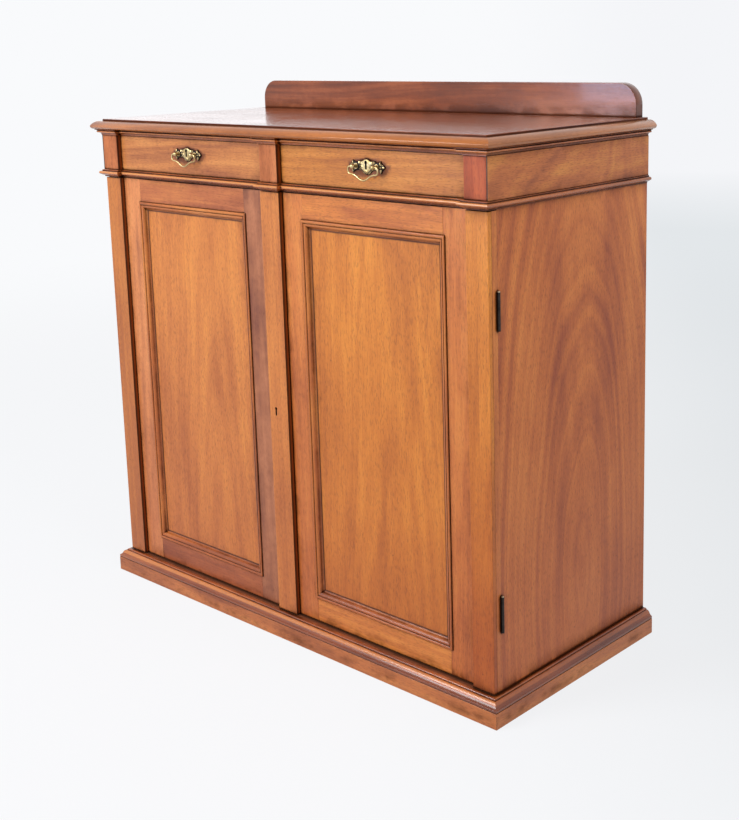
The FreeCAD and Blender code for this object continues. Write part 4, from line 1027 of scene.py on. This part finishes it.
def plate_height(points):
    """Height of the casting over the drawer front in millimetres, and how hollow it is."""
    edge, key = to_outline(points, outline), to_outline(points, hole)
    height = 1.2 + 1.6 * np.clip(edge / 3.0, 0, 1) ** 0.6 + 0.5 * ridge(edge - 1.2, 0.7)
    out = abs(points.real)
    shield = np.minimum(15.0 - out, 0.83 * (points.imag + 13.6 - 0.72 * out))
    height += 1.3 * np.clip(shield / 1.8, 0, 1) ** 0.7
    recess = 0.7 * ridge(shield + 0.8, 0.8) + 0.4 * ridge(edge, 0.5)
    boss = abs(points - complex(0.0, -9.6))
    height += 0.8 * ridge(boss - 1.9, 0.6) - 1.6 * ridge(boss, 0.8)
    recess += 0.9 * ridge(boss, 0.9)
    for side in (-1, 1):
        post = abs(points - complex(side * POST_OUT, 0.0))
        dish = np.clip((9.2 - post) / 1.6, 0, 1)
        height += 0.9 * ridge(post - 9.6, 0.8)
        height = height * (1 - dish) + 1.5 * dish
        recess += 0.6 * dish
        for angle, length in ((205, 5.0), (250, 5.5), (310, 5.0)):
            root = complex(side * 13.0, 1.6)
            turn = complex(math.cos(math.radians(angle)) * side, math.sin(math.radians(angle)))
            leaf = to_segment(points, root, root + turn * length)
            height += 0.7 * ridge(leaf, 0.9)
            recess += 0.5 * ridge(leaf - 1.8, 0.5)
        for tip in ((33.6, 9.2), (43.6, -1.2), (34.0, -10.6)):
            vein = to_segment(points, complex(side * 35.4, -0.6), complex(side * tip[0], tip[1]))
            height += 1.1 * ridge(vein, 1.0)
            recess += 0.7 * ridge(vein - 2.6, 0.7)
        seat = np.clip((6.2 - post) / 1.0, 0, 1)
        height = height * (1 - seat) + 2.45 * seat
        recess += 0.3 * seat
    recess += 1.0 * ridge(key, 0.35)
    return height, np.clip(recess, 0, 1)


print("the casting rises to", round(float(plate_height(np.array([0j, 4 + 0j]))[0].max()), 2), "mm")

# %% [markdown]
# The net is a constrained triangulation, which keeps every outline edge. The plate's back is flat
# and has only the outline's points, and a wall joins the two borders, so the plate is a closed
# casting and can be looked at from any side.

# %% Cast the back plates
NET_STEP = 0.95          # net spacing in millimetres
NET_MARGIN = 0.35        # how far its points keep from the outlines
SHARP = 50.0             # edges that turn by more than this many degrees stay sharp


def fill(loops, grid):
    """Triangles over an outline with a hole in it, through extra points."""
    points = np.concatenate(list(loops) + [grid])
    edges, start = [], 0
    for loop in loops:
        count = len(loop)
        edges += [(start + i, start + (i + 1) % count) for i in range(count)]
        start += count
    flat = [Vector((p.real, p.imag)) for p in points]
    verts, _, faces, *_ = delaunay_2d_cdt(flat, edges, [], 0, 1e-6)
    verts = np.array([complex(v.x, v.y) for v in verts])
    middles = np.array([verts[list(f)].mean() for f in faces])
    keep = inside(middles, loops[0]) & ~inside(middles, loops[1])
    return verts, [f for f, kept in zip(faces, keep) if kept]


def finish_casting(mesh, name, node, body):
    """Turns a bmesh into a smooth brass piece that stands for a node and moves with its body."""
    bmesh.ops.recalc_face_normals(mesh, faces=mesh.faces)
    data = bpy.data.meshes.new(name)
    mesh.to_mesh(data)
    unclosed = sum(len(edge.link_faces) != 2 for edge in mesh.edges)
    print(name, len(data.polygons), "faces, open edges", unclosed)
    mesh.free()
    data.shade_smooth()
    data.set_sharp_from_angle(angle=math.radians(SHARP))
    data.materials.append(brass)
    piece = bpy.data.objects.new(name, data)
    scene.collection.objects.link(piece)
    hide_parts(node)
    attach(piece, body)


def cast_plate(name, node, body):
    low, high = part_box(node)
    middle, face = (low.x + high.x) / 2, high.y
    posts_z = high.z - PLATE_HALF[0][1] * MM
    out, up = np.meshgrid(np.arange(-46, 46, NET_STEP), np.arange(-16, 16, NET_STEP))
    net = (out + 1j * up).ravel()
    net = net[inside(net, outline) & ~inside(net, hole)]
    net = net[np.minimum(to_outline(net, outline), to_outline(net, hole)) > NET_MARGIN]
    mesh = bmesh.new()
    layers = []
    shade = mesh.verts.layers.float.new("recess")
    flat_back = lambda points: (np.zeros(len(points)), np.ones(len(points)))
    for grid, heights in ((net, plate_height), (net[:0], flat_back)):
        verts, faces = fill((outline, hole), grid)
        rise, recess = heights(verts)
        placed = [mesh.verts.new((middle + p.real * MM, face - h * MM, posts_z + p.imag * MM))
                  for p, h in zip(verts, rise)]
        for vertex, share in zip(placed, recess):
            vertex[shade] = share
        for triangle in faces:
            mesh.faces.new([placed[i] for i in triangle])
        layers.append({(round(p.real, 4), round(p.imag, 4)): v for p, v in zip(verts, placed)})
    front, back = layers
    for loop in (outline, hole):
        keys = [(round(p.real, 4), round(p.imag, 4)) for p in loop]
        for a, b in zip(keys, keys[1:] + keys[:1]):
            mesh.faces.new((front[a], front[b], back[b], back[a]))
    loose = [v for v in mesh.verts if not v.link_faces]
    bmesh.ops.delete(mesh, geom=loose, context="VERTS")
    finish_casting(mesh, name, node, body)


for side in ("left", "right"):
    cast_plate(f"{side}_relief_plate", f"{side}_drawer_handle_plate", f"{side}_drawer")

# %% [markdown]
# The bail is a rod bent like a brace and hooked into the posts. A casting has no sharp bends and
# no even thickness: it is worn thinner at the grip. We lay a smooth line through its bends, carry a
# small frame along it, and set rings of points round it. The two ends are as thick as the holes
# in the posts allow, since they turn there.

# %% Sweep the bails
BAIL_BENDS = [(21.0, 0.0), (36.5, 0.0), (36.5, -12.5), (21.0, -14.0), (0.0, -27.0)]
BAIL_WIRE = 1.7          # radius in the posts, in millimetres
BEND_SHARE = 0.47
RING = 14


def bail_line():
    """The middle line of the bail, from the right end to the left."""
    bends = [complex(*p) for p in BAIL_BENDS]
    bends += [complex(-p.real, p.imag) for p in bends[-2::-1]]
    line = [bends[0] + (bends[1] - bends[0]) * t for t in (0.0, 0.2, 0.4)]
    for before, here, after in zip(bends, bends[1:], bends[2:]):
        trim = BEND_SHARE * min(abs(before - here), abs(after - here))
        enter = here + (before - here) / abs(before - here) * trim
        leave = here + (after - here) / abs(after - here) * trim
        for t in np.linspace(0, 1, 11):
            line.append(enter * (1 - t) ** 2 + here * 2 * t * (1 - t) + leave * t * t)
    line += [bends[-1] + (bends[-2] - bends[-1]) * t for t in (0.4, 0.2, 0.0)]
    return np.array(line)


def sweep_bail(name, node, body):
    low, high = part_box(node)
    middle, depth = (low.x + high.x) / 2, (low.y + high.y) / 2
    pivot_z = high.z - BAIL_WIRE * MM
    line = bail_line()
    along = np.gradient(line)
    along /= abs(along)
    mesh = bmesh.new()
    hoops = []
    for point, heading in zip(line, along):
        grip = np.clip((-point.imag - 4.0) / 10.0, 0, 1)
        radius = BAIL_WIRE - 0.25 * grip
        side = heading * 1j
        angles = np.arange(RING) * 2 * math.pi / RING
        hoop = []
        for angle in angles:
            place = point + radius * math.cos(angle) * side
            bulge = radius * math.sin(angle)
            hoop.append(mesh.verts.new((middle + place.real * MM, depth + bulge * MM,
                                        pivot_z + place.imag * MM)))
        hoops.append(hoop)
    for a, b in zip(hoops, hoops[1:]):
        for i in range(RING):
            j = (i + 1) % RING
            mesh.faces.new((a[i], a[j], b[j], b[i]))
    mesh.faces.new(hoops[0])
    mesh.faces.new(hoops[-1])
    finish_casting(mesh, name, node, body)


for side in ("left", "right"):
    sweep_bail(f"{side}_brass_bail", f"{side}_drawer_bail", f"{side}_bail")

# %% [markdown]
# ## Softened arrises
#
# A sharp edge of 90 degrees looks like a drawing. A joiner takes it off with two strokes of
# paper, and use rounds it further. A modifier does it here without touching the boards' own
# meshes: it first welds the faces together and merges flat ones, and then rounds what is left.
# Pieces made of several touching parts are left out, because welding would join them.

# %% Round the edges
TOUCHING = ("moulding", "base_frame", "plinth_boards", "back_boards", "hinge_leaves", "hinge_pins",
            "bail", "handle", "lock_", "bolt")
ROUNDING = 0.7           # how wide the rounding of an arris is, in millimetres
SAME_PLACE, SAME_PLANE = 0.01, 0.3      # faces meet within these millimetres and degrees
for name, obj in nodes.items():
    if any(word in name for word in TOUCHING):
        continue
    weld = obj.modifiers.new("weld", "WELD")
    weld.merge_threshold = SAME_PLACE * MM
    merge = obj.modifiers.new("merge", "DECIMATE")
    merge.decimate_type, merge.angle_limit = "DISSOLVE", math.radians(SAME_PLANE)
    soften = obj.modifiers.new("soften", "BEVEL")
    soften.width, soften.segments = ROUNDING * MM, 2
    soften.limit_method, soften.angle_limit = "ANGLE", math.radians(30)
print(sum(len(o.modifiers) > 0 for o in nodes.values()), "pieces softened")
